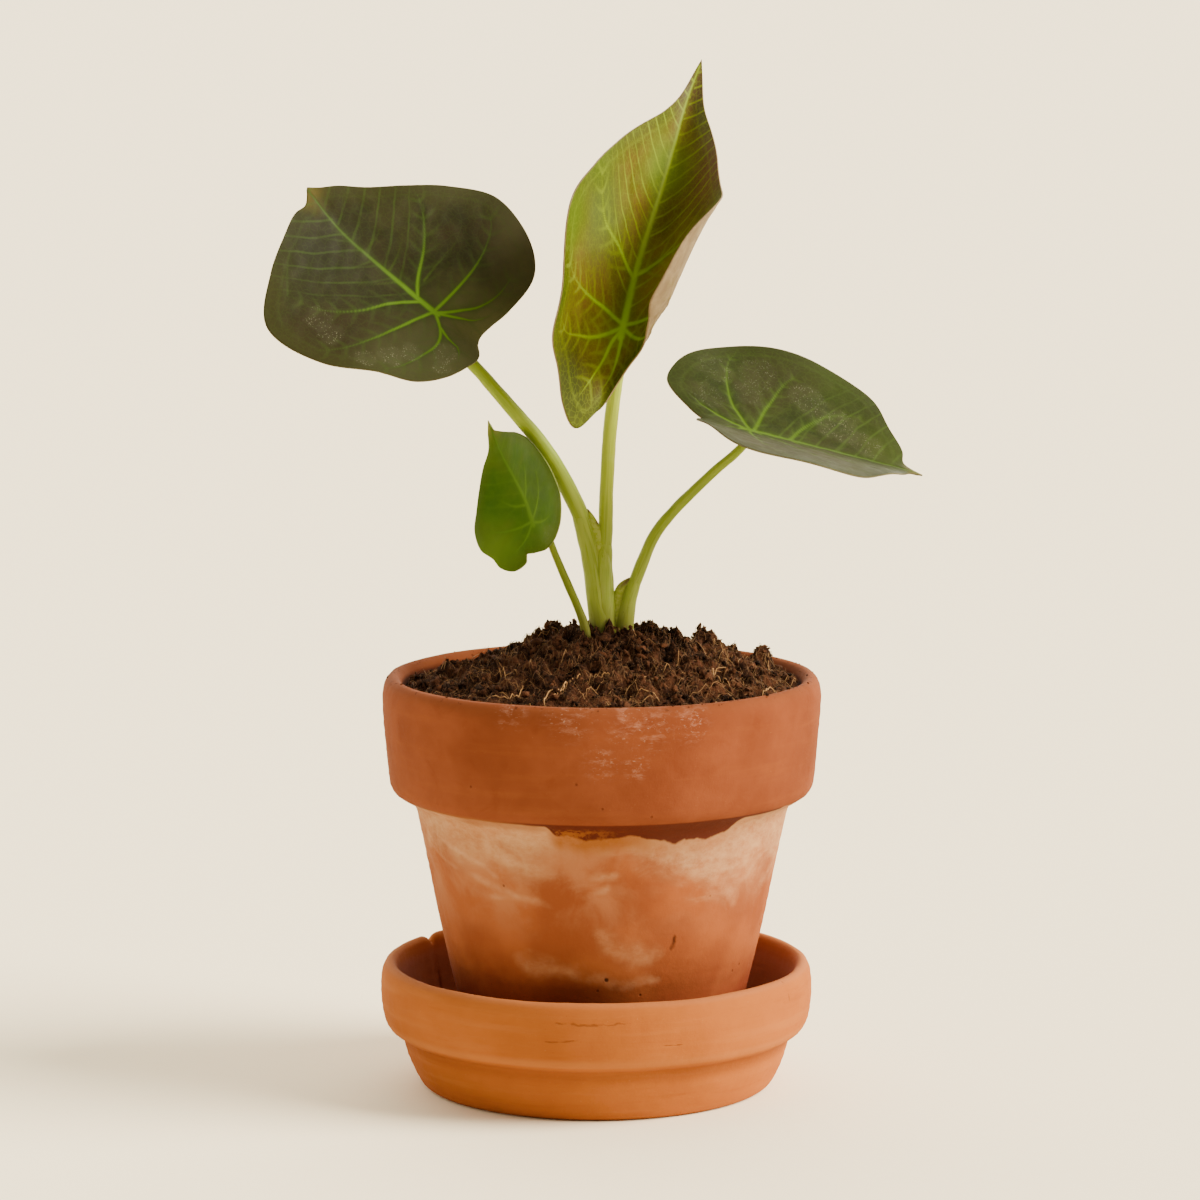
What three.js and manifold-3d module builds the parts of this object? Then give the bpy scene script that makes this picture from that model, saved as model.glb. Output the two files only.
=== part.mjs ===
// Potted aroid house plant: four shield-shaped leaves on their stalks, a short sheathed stem, a mound
// of potting mix, a terracotta pot with a rim band and a terracotta saucer. Millimetres, +Z up, the
// viewer at -Y. The origin is the centre of the saucer's foot, on the surface that it stands on.

import * as THREE from 'three';
import { mergeVertices } from 'three/addons/utils/BufferGeometryUtils.js';
import Module from 'manifold-3d';

const wasm = await Module();
wasm.setup();

// Clearance between pieces that touch, the number of sides of what is turned and of the stalks, how
// many lengths a stalk is divided into, and how near two points are that count as one.
const GAP = 0.3;
const TURNED_SIDES = 60;
const STALK_SIDES = 8;
const STALK_STEPS = 20;
const WELD = 1e-4;

// Saucer: outline of one half section, radius then height. The foot is flat at height 0.
const SAUCER_FLOOR = 6.0;
const SAUCER_PROFILE = [
  [0, 0], [41.5, 0], [42.9, 0.6], [44.2, 1.8], [46.8, 7.3], [48.4, 12.2], [48.9, 13.2],
  [50.2, 14.0], [51.9, 15.3], [52.8, 17.5], [53.5, 22.0], [53.4, 26.0], [52.9, 28.8], [52.1, 30.3],
  [51.0, 30.9],
  [49.9, 30.4], [49.3, 29.0], [47.4, 17.0], [44.8, 9.8], [41.6, 6.8], [38.5, SAUCER_FLOOR],
  [0, SAUCER_FLOOR],
];

// Pot: it stands a little off the saucer's centre. Its outer wall runs from the foot to the rim lip,
// and its inner wall back down to the floor round the drainage hole.
const POT_CENTRE = [1.3, 0.4];
const POT_FOOT = SAUCER_FLOOR + GAP;
const DRAIN_RADIUS = 6.0;
const POT_FLOOR = 12.3;
const POT_OUTER = [
  [DRAIN_RADIUS, POT_FOOT], [31.2, POT_FOOT], [32.3, POT_FOOT + 1.1], [45.9, 68.9], [47.2, 71.3],
  [49.8, 72.8], [51.4, 73.8], [52.2, 75.4], [52.7, 78.5], [53.1, 84.0], [54.0, 95.0], [53.9, 98.2],
  [53.2, 100.3], [52.3, 101.6], [51.3, 102.0], [50.2, 101.6], [49.3, 100.3],
];
const POT_INNER = [[48.7, 98.0], [46.9, 74.0], [41.2, 67.0], [28.8, 14.0], [27.2, POT_FLOOR]];

// Potting mix: it fills the pot and is heaped up against the stem, with low uneven lumps, and it has
// settled towards the back left.
const SOIL_BOTTOM = POT_FLOOR + GAP;
const SOIL_SIDE = [[26.9, SOIL_BOTTOM], [28.5, 14.0], [40.9, 67.0], [46.6, 74.0]];
const SOIL_EDGE = 99.3;
const SOIL_EDGE_RADIUS = 48.2;
const SOIL_RISE = 15.4;
const SOIL_FALLOFF = 1.3;
const SOIL_RINGS = [42, 35, 27, 19, 11, 5, 0];
const SOIL_DIP = { depth: 3.2, angle: 2.45, spread: 0.55 };
const SOIL_LUMPS = [
  { height: 0.3, acrossX: 0.31, acrossY: 0.27, shift: 1.4 },
  { height: 0.3, acrossX: 0.31, acrossY: -0.27, shift: 0.6 },
  { height: 0.5, acrossX: 0.17, acrossY: -0.41, shift: 0 },
];

// Stem: three wrapped sheaths that grow from one swollen foot, which is narrower from front to back
// and sits in a plain hole in the potting mix. Each sheath is a list of points with the radius
// there; it ends where its leaf stalk goes on. Two thin webs join the sheaths low down.
const FOOT_CENTRE = [3.6, 0];
const FOOT_FLATTEN = 0.72;
const FOOT_PROFILE = [
  [0, 89.5], [3.6, 90.4], [5.9, 94.5], [6.5, 101], [6.2, 107], [5.9, 112.2], [0, 112.6],
];
const FOOT_HOLE = [
  [0, 89.2], [4.2, 90.1], [6.5, 94.2], [7.1, 100.7], [7.1, 130], [0, 130],
];
const FOOT_SIDES = 32;
const SHEATH_LEFT = [
  [1.4, 0, 108, 3.3], [1.2, 0, 115, 3.1], [0.4, 0, 120.1, 2.8], [-0.7, 0, 127.5, 2.5],
  [-2.3, -0.3, 135.3, 2.3], [-4.4, -0.9, 142.3, 2.15],
];
const SHEATH_CENTRE = [
  [1.9, 0.2, 108, 3.1], [1.9, 0.2, 115, 3.0], [2.1, 0.2, 121, 2.5], [2.1, 0.2, 128, 1.95],
  [2.1, 0.2, 134.5, 1.8],
];
const SHEATH_RIGHT = [
  [6.6, 0.2, 108, 2.3], [7.1, 0.2, 115, 2.2], [8.0, 0.1, 120.4, 1.9], [9.6, 0, 125.2, 1.65],
];
const SHEATH_WEBS = [
  [[-3.3, -0.5, 142.6, 0.5], [-2.1, -0.2, 139.5, 0.8], [-1.1, 0, 135.2, 0.85], [0.4, 0.1, 130.5, 1.2]],
  [[8.2, 0, 125.6, 0.5], [6.4, 0.1, 123.2, 0.9], [5.0, 0.2, 117.0, 1.4]],
];
const SHEATH_STEPS = 4;

// Leaf blades. Each is drawn flat first, in [across, along] from the point where its stalk meets it:
// from the tip down one margin to the notch between the back lobes. Then it is shaped: the midrib
// arches, the two halves fold up from it and curl, the more so behind the stalk where a half is
// gathered there, and the margin waves. Pairs are for the left half, then for the right one.
const BLADE_THICKNESS = 0.8;
const MIDRIB_SOFTNESS = 2.0;
const GATHER_SOFTNESS = 6.0;
const ANGLE_STEPS = 12;
const SLOPE_STEP = 0.05;

const LEAF_LEFT = {
  name: 'left', cells: 18, middle: 12, junction: [-39.0, -12.0, 191.7],
  heading: 161, pitch: 33.7, roll: 33.7, arch: -0.0096, lobeArch: 0, twist: 0.0026,
  fold: [0.07, 0.22], curl: [-0.004, 0.001], uncurl: 0, gather: [0, 0], wave: [0.5, 7, 0.6],
  leftMargin: [
    [0.5, 43.4], [-3, 40.5], [-7, 40.5], [-14, 38], [-23.5, 33.5], [-35, 24.5], [-33, 9],
    [-25.5, -2], [-21, -10], [-14.5, -14.5], [-8, -16], [-3, -16], [0, -13.5],
  ],
  rightMargin: [
    [0.5, 43.4], [3, 41.5], [7, 39], [12.5, 34], [20, 28], [28.5, 20], [35, 9.5], [32.5, -3],
    [25, -11.5], [13, -13], [6.5, -12.5], [2.5, -12.5], [0, -13.5],
  ],
};
const LEAF_CENTRE = {
  name: 'centre', cells: 22, middle: 20, junction: [6.7, -4.0, 187.8],
  heading: 58.5, pitch: 60.5, roll: -29.6, arch: 0.0028, lobeArch: 0, twist: -0.0019,
  fold: [0.91, 0.85], curl: [0.0133, 0.0273], uncurl: 0.0125, gather: [0, 0.012],
  wave: [0.7, 9, 0.4],
  leftMargin: [
    [0, 77], [-2.8, 64], [-6.5, 57.3], [-13.6, 48.6], [-22, 38.5], [-33, 26], [-40.6, 12.5],
    [-34, -3], [-31, -14.5], [-20, -20], [-13.5, -26.5], [-5.5, -29.5], [0, -22],
  ],
  rightMargin: [
    [0, 77], [4.5, 62.5], [9.5, 54], [16, 44.5], [23, 34], [32, 25], [39, 11], [34.5, -3],
    [25, -6], [15, -7.5], [8, -10], [3, -15.5], [0, -22],
  ],
};
const LEAF_RIGHT = {
  name: 'right', cells: 18, middle: 14, junction: [37.3, -5.0, 162.4],
  heading: 15.2, pitch: -15, roll: -17.6, arch: 0.0003, lobeArch: 0.0038, twist: -0.0006,
  fold: [0.34, 0.33], curl: [0.0022, -0.0067], uncurl: 0, gather: [0, 0], wave: [0.6, 8, 1.1],
  leftMargin: [
    [0, 46], [-3, 41.5], [-7.5, 41.5], [-14, 38.5], [-24, 34.5], [-31, 21.5], [-32.5, 8.5],
    [-30.5, -2.5], [-25.5, -12], [-18.5, -18.5], [-11, -21], [-3, -15.5], [0, -12.5],
  ],
  rightMargin: [
    [0, 46], [1, 42.4], [4.4, 39.8], [12.6, 34.8], [20.6, 28.2], [27.6, 20.4], [32, 8.5],
    [31.5, -3], [27.5, -13], [17, -16], [9.5, -16.5], [3.5, -15], [0, -12.5],
  ],
};
const LEAF_SMALL = {
  name: 'small', cells: 12, middle: 8, junction: [-15.3, -14.0, 141.3],
  heading: 118.8, pitch: 44.5, roll: 69.9, arch: -0.0005, lobeArch: 0.0053, twist: 0.0008,
  fold: [0.17, 0.35], curl: [-0.001, 0.0005], uncurl: 0, gather: [0, 0], wave: [0.3, 6, 0.2],
  leftMargin: [
    [0, 32], [-1.5, 29.4], [-3.4, 25.2], [-6.8, 21.9], [-9.8, 18], [-13.2, 13.4], [-16, 9.3],
    [-16.4, 3.6], [-14, -1.4], [-13, -5], [-9.8, -8], [-6, -8], [-5.3, -6.3], [-3, -7.4],
    [0, -8.8],
  ],
  rightMargin: [
    [0, 32], [0.3, 29], [2, 27], [4.8, 24.4], [8.4, 21.2], [12.4, 15.8], [14.6, 8],
    [14.9, 1.5], [14.4, -4], [11, -8], [6, -9.4], [2, -9.2], [0, -8.8],
  ],
};

// Leaf stalks, from their sheath or the potting mix to the last point before the blade, with the
// radius at both ends. Under the blade each turns into the blade's own upward direction.
const KNEE = 3.0;
const STALK_LEFT = {
  leaf: LEAF_LEFT, from: SHEATH_LEFT, radii: [2.1, 1.3],
  points: [[-8.7, -2.1, 151.5], [-13.2, -3.2, 158.8], [-21.8, -5.0, 169.3], [-30.2, -7.2, 179.2]],
};
const STALK_CENTRE = {
  leaf: LEAF_CENTRE, from: SHEATH_CENTRE, radii: [1.75, 1.65],
  points: [[2.6, 0.6, 149.8], [3.3, 0.9, 161.5], [4.7, 0.9, 173.0], [5.9, 0.6, 180.6]],
};
const STALK_RIGHT = {
  leaf: LEAF_RIGHT, from: SHEATH_RIGHT, radii: [1.6, 1.05],
  points: [
    [11.7, -0.2, 130.6], [14.5, -0.6, 136.8], [19.0, -1.2, 142.5], [23.3, -1.9, 147.0],
    [29.1, -2.8, 152.6], [33.4, -3.5, 156.4],
  ],
};
const STALK_SMALL = {
  leaf: LEAF_SMALL, from: null, radii: [1.15, 0.75],
  points: [
    [-1.7, -5.5, 107.5], [-2.9, -5.8, 114.7], [-4.6, -6.4, 119.6], [-6.6, -7.9, 124.5],
    [-8.6, -9.3, 129.4], [-10.4, -10.6, 134.0], [-11.7, -11.4, 137.6],
  ],
};
const STALK_HOLE_REACH = 18;
const STALK_HOLE_SIDES = 16;

// Finishes, from the photograph.
const finish = (colour, roughness) =>
  new THREE.MeshStandardMaterial({ color: colour, roughness, metalness: 0 });
const TERRACOTTA = finish(0xb8693a, 0.85);
const PALE_TERRACOTTA = finish(0xc97a45, 0.85);
const POTTING_MIX = finish(0x4a2c1a, 1.0);
const PALE_STALK = finish(0x9fae45, 0.5);
const DARK_BLADE = finish(0x4b4a2c, 0.45);
const OLIVE_BLADE = finish(0x6b6a1e, 0.45);
const DUSTY_BLADE = finish(0x55613a, 0.5);
const FRESH_BLADE = finish(0x4f7a1c, 0.45);

// One closed body from a geometry: vertices shared, no flat triangles, faces pointing out.
function solid(geometry) {
  geometry.deleteAttribute('normal');
  geometry.deleteAttribute('uv');
  const merged = mergeVertices(geometry, WELD);
  const index = merged.index.array;
  const position = merged.attributes.position;
  const corners = [new THREE.Vector3(), new THREE.Vector3(), new THREE.Vector3()];
  const kept = [];
  let volume = 0;
  for (let i = 0; i < index.length; i += 3) {
    const [a, b, c] = [index[i], index[i + 1], index[i + 2]];
    if (a === b || b === c || a === c) continue;
    kept.push(a, b, c);
    corners.forEach((corner, k) => corner.fromBufferAttribute(position, index[i + k]));
    volume += corners[0].dot(corners[1].clone().cross(corners[2]));
  }
  if (volume < 0) kept.reverse();
  merged.setIndex(kept);
  return merged;
}

// A closed mesh as a solid that can be joined and cut, and back.
function toManifold(geometry) {
  return new wasm.Manifold(new wasm.Mesh({
    numProp: 3,
    vertProperties: new Float32Array(geometry.attributes.position.array),
    triVerts: new Uint32Array(geometry.index.array),
  }));
}

function fromManifold(body) {
  const mesh = body.getMesh();
  const geometry = new THREE.BufferGeometry();
  geometry.setAttribute('position', new THREE.BufferAttribute(mesh.vertProperties, 3));
  geometry.setIndex(new THREE.BufferAttribute(mesh.triVerts, 1));
  return geometry;
}

// A section turned round the vertical axis. It starts and ends on the axis or closes on itself.
function turned(profile, sides = TURNED_SIDES) {
  const points = profile.map(([radius, height]) => new THREE.Vector2(radius, height));
  return new THREE.LatheGeometry(points, sides).rotateX(Math.PI / 2);
}

// A round stalk through points, its radius easing from one to the next, closed by flat ends.
function stalk(points, radii, sides, steps) {
  const curve = new THREE.CatmullRomCurve3(points, false, 'centripetal');
  const frames = curve.computeFrenetFrames(steps, false);
  const vertices = [];
  for (let i = 0; i <= steps; i++) {
    const place = (i / steps) * (points.length - 1);
    const before = Math.min(Math.floor(place), points.length - 2);
    const radius = THREE.MathUtils.lerp(radii[before], radii[before + 1], place - before);
    const centre = curve.getPoint(i / steps);
    for (let j = 0; j < sides; j++) {
      const angle = (j / sides) * 2 * Math.PI;
      const out = frames.normals[i].clone().multiplyScalar(radius * Math.cos(angle));
      out.addScaledVector(frames.binormals[i], radius * Math.sin(angle));
      vertices.push(...out.add(centre).toArray());
    }
  }
  const faces = [];
  for (let i = 0; i < steps; i++) {
    for (let j = 0; j < sides; j++) {
      const next = (j + 1) % sides;
      const [a, b] = [i * sides + j, i * sides + next];
      const [c, d] = [a + sides, b + sides];
      faces.push(a, b, d, a, d, c);
    }
  }
  const last = steps * sides;
  for (let j = 1; j < sides - 1; j++) {
    faces.push(0, j + 1, j, last, last + j, last + j + 1);
  }
  const geometry = new THREE.BufferGeometry();
  geometry.setAttribute('position', new THREE.Float32BufferAttribute(vertices, 3));
  geometry.setIndex(faces);
  return solid(geometry);
}

function sheath(rows) {
  const points = rows.map(([x, y, z]) => new THREE.Vector3(x, y, z));
  return stalk(points, rows.map((row) => row[3]), STALK_SIDES, SHEATH_STEPS * (rows.length - 1));
}

// The blade's own directions where its stalk meets it: along the midrib, to its right, and up.
function bladeFrame(leaf) {
  const [heading, pitch, roll] = [leaf.heading, leaf.pitch, leaf.roll].map(THREE.MathUtils.degToRad);
  const along = new THREE.Vector3(
    Math.cos(pitch) * Math.cos(heading), Math.cos(pitch) * Math.sin(heading), Math.sin(pitch));
  const level = new THREE.Vector3(Math.sin(heading), -Math.cos(heading), 0);
  const across = level.clone().multiplyScalar(Math.cos(roll));
  across.addScaledVector(level.clone().cross(along), Math.sin(roll));
  return { along, across, up: across.clone().cross(along) };
}

// Where a line ends that starts straight and turns as it goes: the average of its direction, times
// its length. turn gives its angle at each distance.
function bent(length, turn) {
  let forward = 0;
  let sideways = 0;
  for (let k = 0; k < ANGLE_STEPS; k++) {
    const angle = turn((length * (k + 0.5)) / ANGLE_STEPS);
    forward += Math.cos(angle) / ANGLE_STEPS;
    sideways += Math.sin(angle) / ANGLE_STEPS;
  }
  return [length * forward, length * sideways];
}

// A point of the shaped blade's middle surface, from its place on the flat blade. Across is bent
// about the midrib first, then turned with the midrib's twist and carried to the arched midrib.
function shapedPoint(leaf, frame, across, along) {
  const side = across > 0 ? 1 : 0;
  const arch = (distance) => (distance > 0 ? leaf.arch : -leaf.lobeArch) * distance;
  const [forward, drop] = bent(along, arch);
  const behind = (Math.hypot(along, GATHER_SOFTNESS) - along) / 2;
  const gather = 1 + leaf.gather[side] * behind;
  const curl = leaf.curl[side] * (1 - leaf.uncurl * along);
  const fold = (distance) =>
    gather * distance * (leaf.fold[side] / Math.hypot(distance, MIDRIB_SOFTNESS) + curl);
  const [outward, lift] = bent(Math.abs(across), fold);
  const twist = leaf.twist * along;
  const signed = Math.sign(across) * outward;
  const right = signed * Math.cos(twist) - lift * Math.sin(twist);
  const rise = signed * Math.sin(twist) + lift * Math.cos(twist);
  const tilt = arch(along);
  return new THREE.Vector3(...leaf.junction)
    .addScaledVector(frame.along, forward + rise * Math.sin(tilt))
    .addScaledVector(frame.up, rise * Math.cos(tilt) - drop)
    .addScaledVector(frame.across, right);
}

// The blade as a thin solid: a square grid is rounded to a disc, the disc is stretched to the flat
// outline, and each point is shaped. Both faces are split into triangles alike.
function blade(leaf) {
  const frame = bladeFrame(leaf);
  const margins = [leaf.rightMargin, leaf.leftMargin].map((margin) => new THREE.CatmullRomCurve3(
    margin.map(([across, along]) => new THREE.Vector3(across, along, 0)), false, 'centripetal'));
  const cells = leaf.cells;
  const [height, count, phase] = leaf.wave;
  const faces = [[], []];
  for (let row = 0; row <= cells; row++) {
    for (let column = 0; column <= cells; column++) {
      const a = (2 * column) / cells - 1;
      const b = (2 * row) / cells - 1;
      const x = a * Math.sqrt(1 - (b * b) / 2);
      const y = b * Math.sqrt(1 - (a * a) / 2);
      const reach = Math.hypot(x, y);
      const angle = Math.atan2(x, y);
      const margin = margins[angle < 0 ? 1 : 0].getPoint(Math.min(Math.abs(angle) / Math.PI, 1));
      const across = reach * margin.x;
      const along = leaf.middle + reach * (margin.y - leaf.middle);
      const point = shapedPoint(leaf, frame, across, along);
      const right = shapedPoint(leaf, frame, across + SLOPE_STEP, along);
      right.sub(shapedPoint(leaf, frame, across - SLOPE_STEP, along));
      const forward = shapedPoint(leaf, frame, across, along + SLOPE_STEP);
      forward.sub(shapedPoint(leaf, frame, across, along - SLOPE_STEP));
      const up = right.cross(forward).normalize();
      const rise = height * reach ** 4 * Math.sin(count * angle + phase) * Math.sin(angle) ** 2;
      for (const face of [0, 1]) {
        const offset = rise + (0.5 - face) * BLADE_THICKNESS;
        faces[face].push(...point.clone().addScaledVector(up, offset).toArray());
      }
    }
  }
  const width = cells + 1;
  const under = width * width;
  const index = [];
  for (let row = 0; row < cells; row++) {
    for (let column = 0; column < cells; column++) {
      const a = row * width + column;
      const [b, c, d] = [a + 1, a + width, a + width + 1];
      const rising = (row < cells / 2) === (column < cells / 2);
      const split = rising ? [a, b, d, a, d, c] : [a, b, c, b, d, c];
      index.push(...split);
      index.push(...split.map((corner) => corner + under).reverse());
    }
  }
  const rim = [];
  for (let k = 0; k < cells; k++) rim.push(k);
  for (let k = 0; k < cells; k++) rim.push(k * width + cells);
  for (let k = cells; k > 0; k--) rim.push(cells * width + k);
  for (let k = cells; k > 0; k--) rim.push(k * width);
  rim.forEach((a, k) => {
    const b = rim[(k + 1) % rim.length];
    index.push(b, a, a + under, b, a + under, b + under);
  });
  const geometry = new THREE.BufferGeometry();
  geometry.setAttribute('position', new THREE.Float32BufferAttribute(faces.flat(), 3));
  geometry.setIndex(index);
  return solid(geometry);
}

// A leaf stalk: it goes on from its sheath's cut end, and meets the blade from below.
function leafStalk({ leaf, from, radii, points }) {
  const path = points.map((point) => new THREE.Vector3(...point));
  if (from) {
    const cut = new THREE.Vector3(...from[from.length - 1].slice(0, 3));
    const before = new THREE.Vector3(...from[from.length - 2].slice(0, 3));
    path.unshift(cut.addScaledVector(cut.clone().sub(before).normalize(), GAP));
  }
  const junction = new THREE.Vector3(...leaf.junction);
  const up = bladeFrame(leaf).up;
  path.push(junction.clone().addScaledVector(up, -KNEE));
  path.push(junction.clone().addScaledVector(up, -BLADE_THICKNESS / 2 - GAP));
  const last = path.length - 1;
  return { path, thickness: path.map((_, i) => THREE.MathUtils.lerp(...radii, i / last)) };
}

// The heap's height at a place on it: highest at the stem, with lumps, and settled at the back left.
function soilHeight(x, y) {
  const radius = Math.hypot(x, y) / SOIL_EDGE_RADIUS;
  const turn = Math.atan2(y, x) - SOIL_DIP.angle;
  const dip = SOIL_DIP.depth * Math.exp(-((turn / SOIL_DIP.spread) ** 2)) * radius ** 4;
  let height = SOIL_EDGE + SOIL_RISE * (1 - radius ** SOIL_FALLOFF) - dip;
  for (const lump of SOIL_LUMPS) {
    height += lump.height * Math.sin(lump.acrossX * x + lump.acrossY * y + lump.shift);
  }
  return height;
}

// The heap with its two plain holes: one for the stem's foot and one along the small leaf's stalk.
function makeSoil() {
  const crown = [SOIL_EDGE_RADIUS, ...SOIL_RINGS].map((radius) => [radius, SOIL_EDGE]);
  const heap = turned([[0, SOIL_BOTTOM], ...SOIL_SIDE, ...crown]);
  const position = heap.attributes.position;
  for (let i = 0; i < position.count; i++) {
    if (position.getZ(i) > SOIL_EDGE - WELD) {
      position.setZ(i, soilHeight(position.getX(i), position.getY(i)));
    }
  }
  heap.translate(POT_CENTRE[0], POT_CENTRE[1], 0);
  const [start, next] = leafStalk(STALK_SMALL).path;
  const heading = next.clone().sub(start).normalize();
  const deep = start.clone().addScaledVector(heading, -GAP);
  const high = start.clone().addScaledVector(heading, STALK_HOLE_REACH);
  const wide = STALK_SMALL.radii[0] + GAP;
  const bore = stalk([deep, high], [wide, wide], STALK_HOLE_SIDES, 1);
  const body = toManifold(solid(heap)).subtract(toManifold(solid(atFoot(FOOT_HOLE))));
  return fromManifold(body.subtract(toManifold(bore)));
}

// A section turned and flattened at the place of the stem's foot.
function atFoot(profile) {
  const shape = turned(profile, FOOT_SIDES).scale(1, FOOT_FLATTEN, 1);
  return shape.translate(FOOT_CENTRE[0], FOOT_CENTRE[1], 0);
}

function makeStem() {
  let body = toManifold(solid(atFoot(FOOT_PROFILE)));
  for (const rows of [SHEATH_LEFT, SHEATH_CENTRE, SHEATH_RIGHT, ...SHEATH_WEBS]) {
    body = body.add(toManifold(sheath(rows)));
  }
  return fromManifold(body);
}

const plant = new THREE.Group();

function place(name, geometry, material) {
  const mesh = new THREE.Mesh(geometry, material);
  mesh.name = name;
  plant.add(mesh);
  return mesh;
}

place('saucer', solid(turned(SAUCER_PROFILE)), PALE_TERRACOTTA);
const pot = place('pot', solid(turned([...POT_OUTER, ...POT_INNER,
  [DRAIN_RADIUS, POT_FLOOR], [DRAIN_RADIUS, POT_FOOT]])), TERRACOTTA);
pot.position.set(POT_CENTRE[0], POT_CENTRE[1], 0);
place('soil', makeSoil(), POTTING_MIX);
place('stem', makeStem(), PALE_STALK);

for (const item of [STALK_LEFT, STALK_CENTRE, STALK_RIGHT, STALK_SMALL]) {
  const { path, thickness } = leafStalk(item);
  place(`petiole_${item.leaf.name}`, stalk(path, thickness, STALK_SIDES, STALK_STEPS), PALE_STALK);
}
place('leaf_left', blade(LEAF_LEFT), DARK_BLADE);
place('leaf_centre', blade(LEAF_CENTRE), OLIVE_BLADE);
place('leaf_right', blade(LEAF_RIGHT), DUSTY_BLADE);
place('leaf_small', blade(LEAF_SMALL), FRESH_BLADE);

export default plant;
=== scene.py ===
import math

import bpy
import numpy as np
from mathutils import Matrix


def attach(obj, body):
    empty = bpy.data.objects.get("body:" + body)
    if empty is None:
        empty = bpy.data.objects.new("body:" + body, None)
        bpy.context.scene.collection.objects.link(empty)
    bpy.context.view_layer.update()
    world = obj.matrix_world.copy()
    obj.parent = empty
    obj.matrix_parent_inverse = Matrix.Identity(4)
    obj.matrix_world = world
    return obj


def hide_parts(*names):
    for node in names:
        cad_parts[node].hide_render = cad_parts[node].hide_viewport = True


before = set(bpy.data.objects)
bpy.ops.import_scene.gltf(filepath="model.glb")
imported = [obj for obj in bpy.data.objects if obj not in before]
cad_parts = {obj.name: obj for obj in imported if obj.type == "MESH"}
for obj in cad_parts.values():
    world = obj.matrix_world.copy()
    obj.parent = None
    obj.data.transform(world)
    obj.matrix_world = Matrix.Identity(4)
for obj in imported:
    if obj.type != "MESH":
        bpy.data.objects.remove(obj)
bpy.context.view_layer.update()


# The view: a camera on a level stand, 1.2 m in front of the plant and a little above the pot, with a
# long lens that looks slightly down.
view_data = bpy.data.cameras.new("view")
view_data.sensor_width = 36.0
view_data.lens = 148.5
view = bpy.data.objects.new("view", view_data)
view.location = (0.0009, -1.2, 0.293)
view.rotation_euler = (math.pi / 2 - 0.143, 0.0, 0.0)
bpy.context.scene.collection.objects.link(view)
bpy.context.scene.camera = view


# The light: one wide soft lamp on the right, and a room with a bright wall behind the plant, a paler
# one on the left and little light from the viewer's side.
ROOM_LIGHT = {(0, 1, 0): 7.4, (-1, 0, 0): 1.95, (1, 0, 0): 0.9, (0, 0, 1): 0.38, (0, -1, 0): 0.3}
lamp_data = bpy.data.lights.new("window", "SUN")
lamp_data.energy = 11.0
lamp_data.angle = math.radians(35.0)
lamp_data.color = (1.0, 0.90, 0.72)
lamp = bpy.data.objects.new("window", lamp_data)
lamp.rotation_euler = (math.radians(57.0), 0.0, math.radians(80.0))
bpy.context.scene.collection.objects.link(lamp)


def feed(tree, node, inputs):
    """Joins each of these inputs of a node to another node's output, or sets it to a plain value."""
    for socket, value in inputs.items():
        if isinstance(value, bpy.types.NodeSocket):
            tree.links.new(value, node.inputs[socket])
        else:
            node.inputs[socket].default_value = value


def add_node(tree, kind, inputs, output=0, **settings):
    """Adds a shader node with these settings to a tree and gives back one of its outputs."""
    node = tree.nodes.new("ShaderNode" + kind)
    for setting, value in settings.items():
        setattr(node, setting, value)
    feed(tree, node, inputs)
    return node.outputs[output]


room = bpy.data.worlds.new("room")
room.use_nodes = True
walls = room.node_tree
looking = add_node(walls, "TexCoord", {}, "Generated")
total = 0.0
for towards, bright in ROOM_LIGHT.items():
    facing = add_node(walls, "VectorMath", {0: looking, 1: towards}, "Value", operation="DOT_PRODUCT")
    ahead = add_node(walls, "Math", {0: facing, 1: 0.0}, operation="MAXIMUM")
    squared = add_node(walls, "Math", {0: ahead, 1: 2.0}, operation="POWER")
    total = add_node(walls, "Math", {0: squared, 1: bright, 2: total}, operation="MULTIPLY_ADD")
feed(walls, walls.nodes["Background"], {"Color": (1.0, 0.89, 0.70, 1.0), "Strength": total})
bpy.context.scene.world = room


# The floor: one wide pale sheet of matt board that the saucer stands on.
FLOOR_HALF = 30
MM = 0.001


def paint(red, green, blue, share=0.67):
    """A colour as a screen shows it, 0 to 255, as the part of the light that it gives back:
    ((c / 255 + 0.055) / 1.055) to the 2.4, times share, because the room is lit more brightly than a
    screen's white."""
    return tuple(share * ((c / 255 + 0.055) / 1.055) ** 2.4 for c in (red, green, blue)) + (1.0,)


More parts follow.
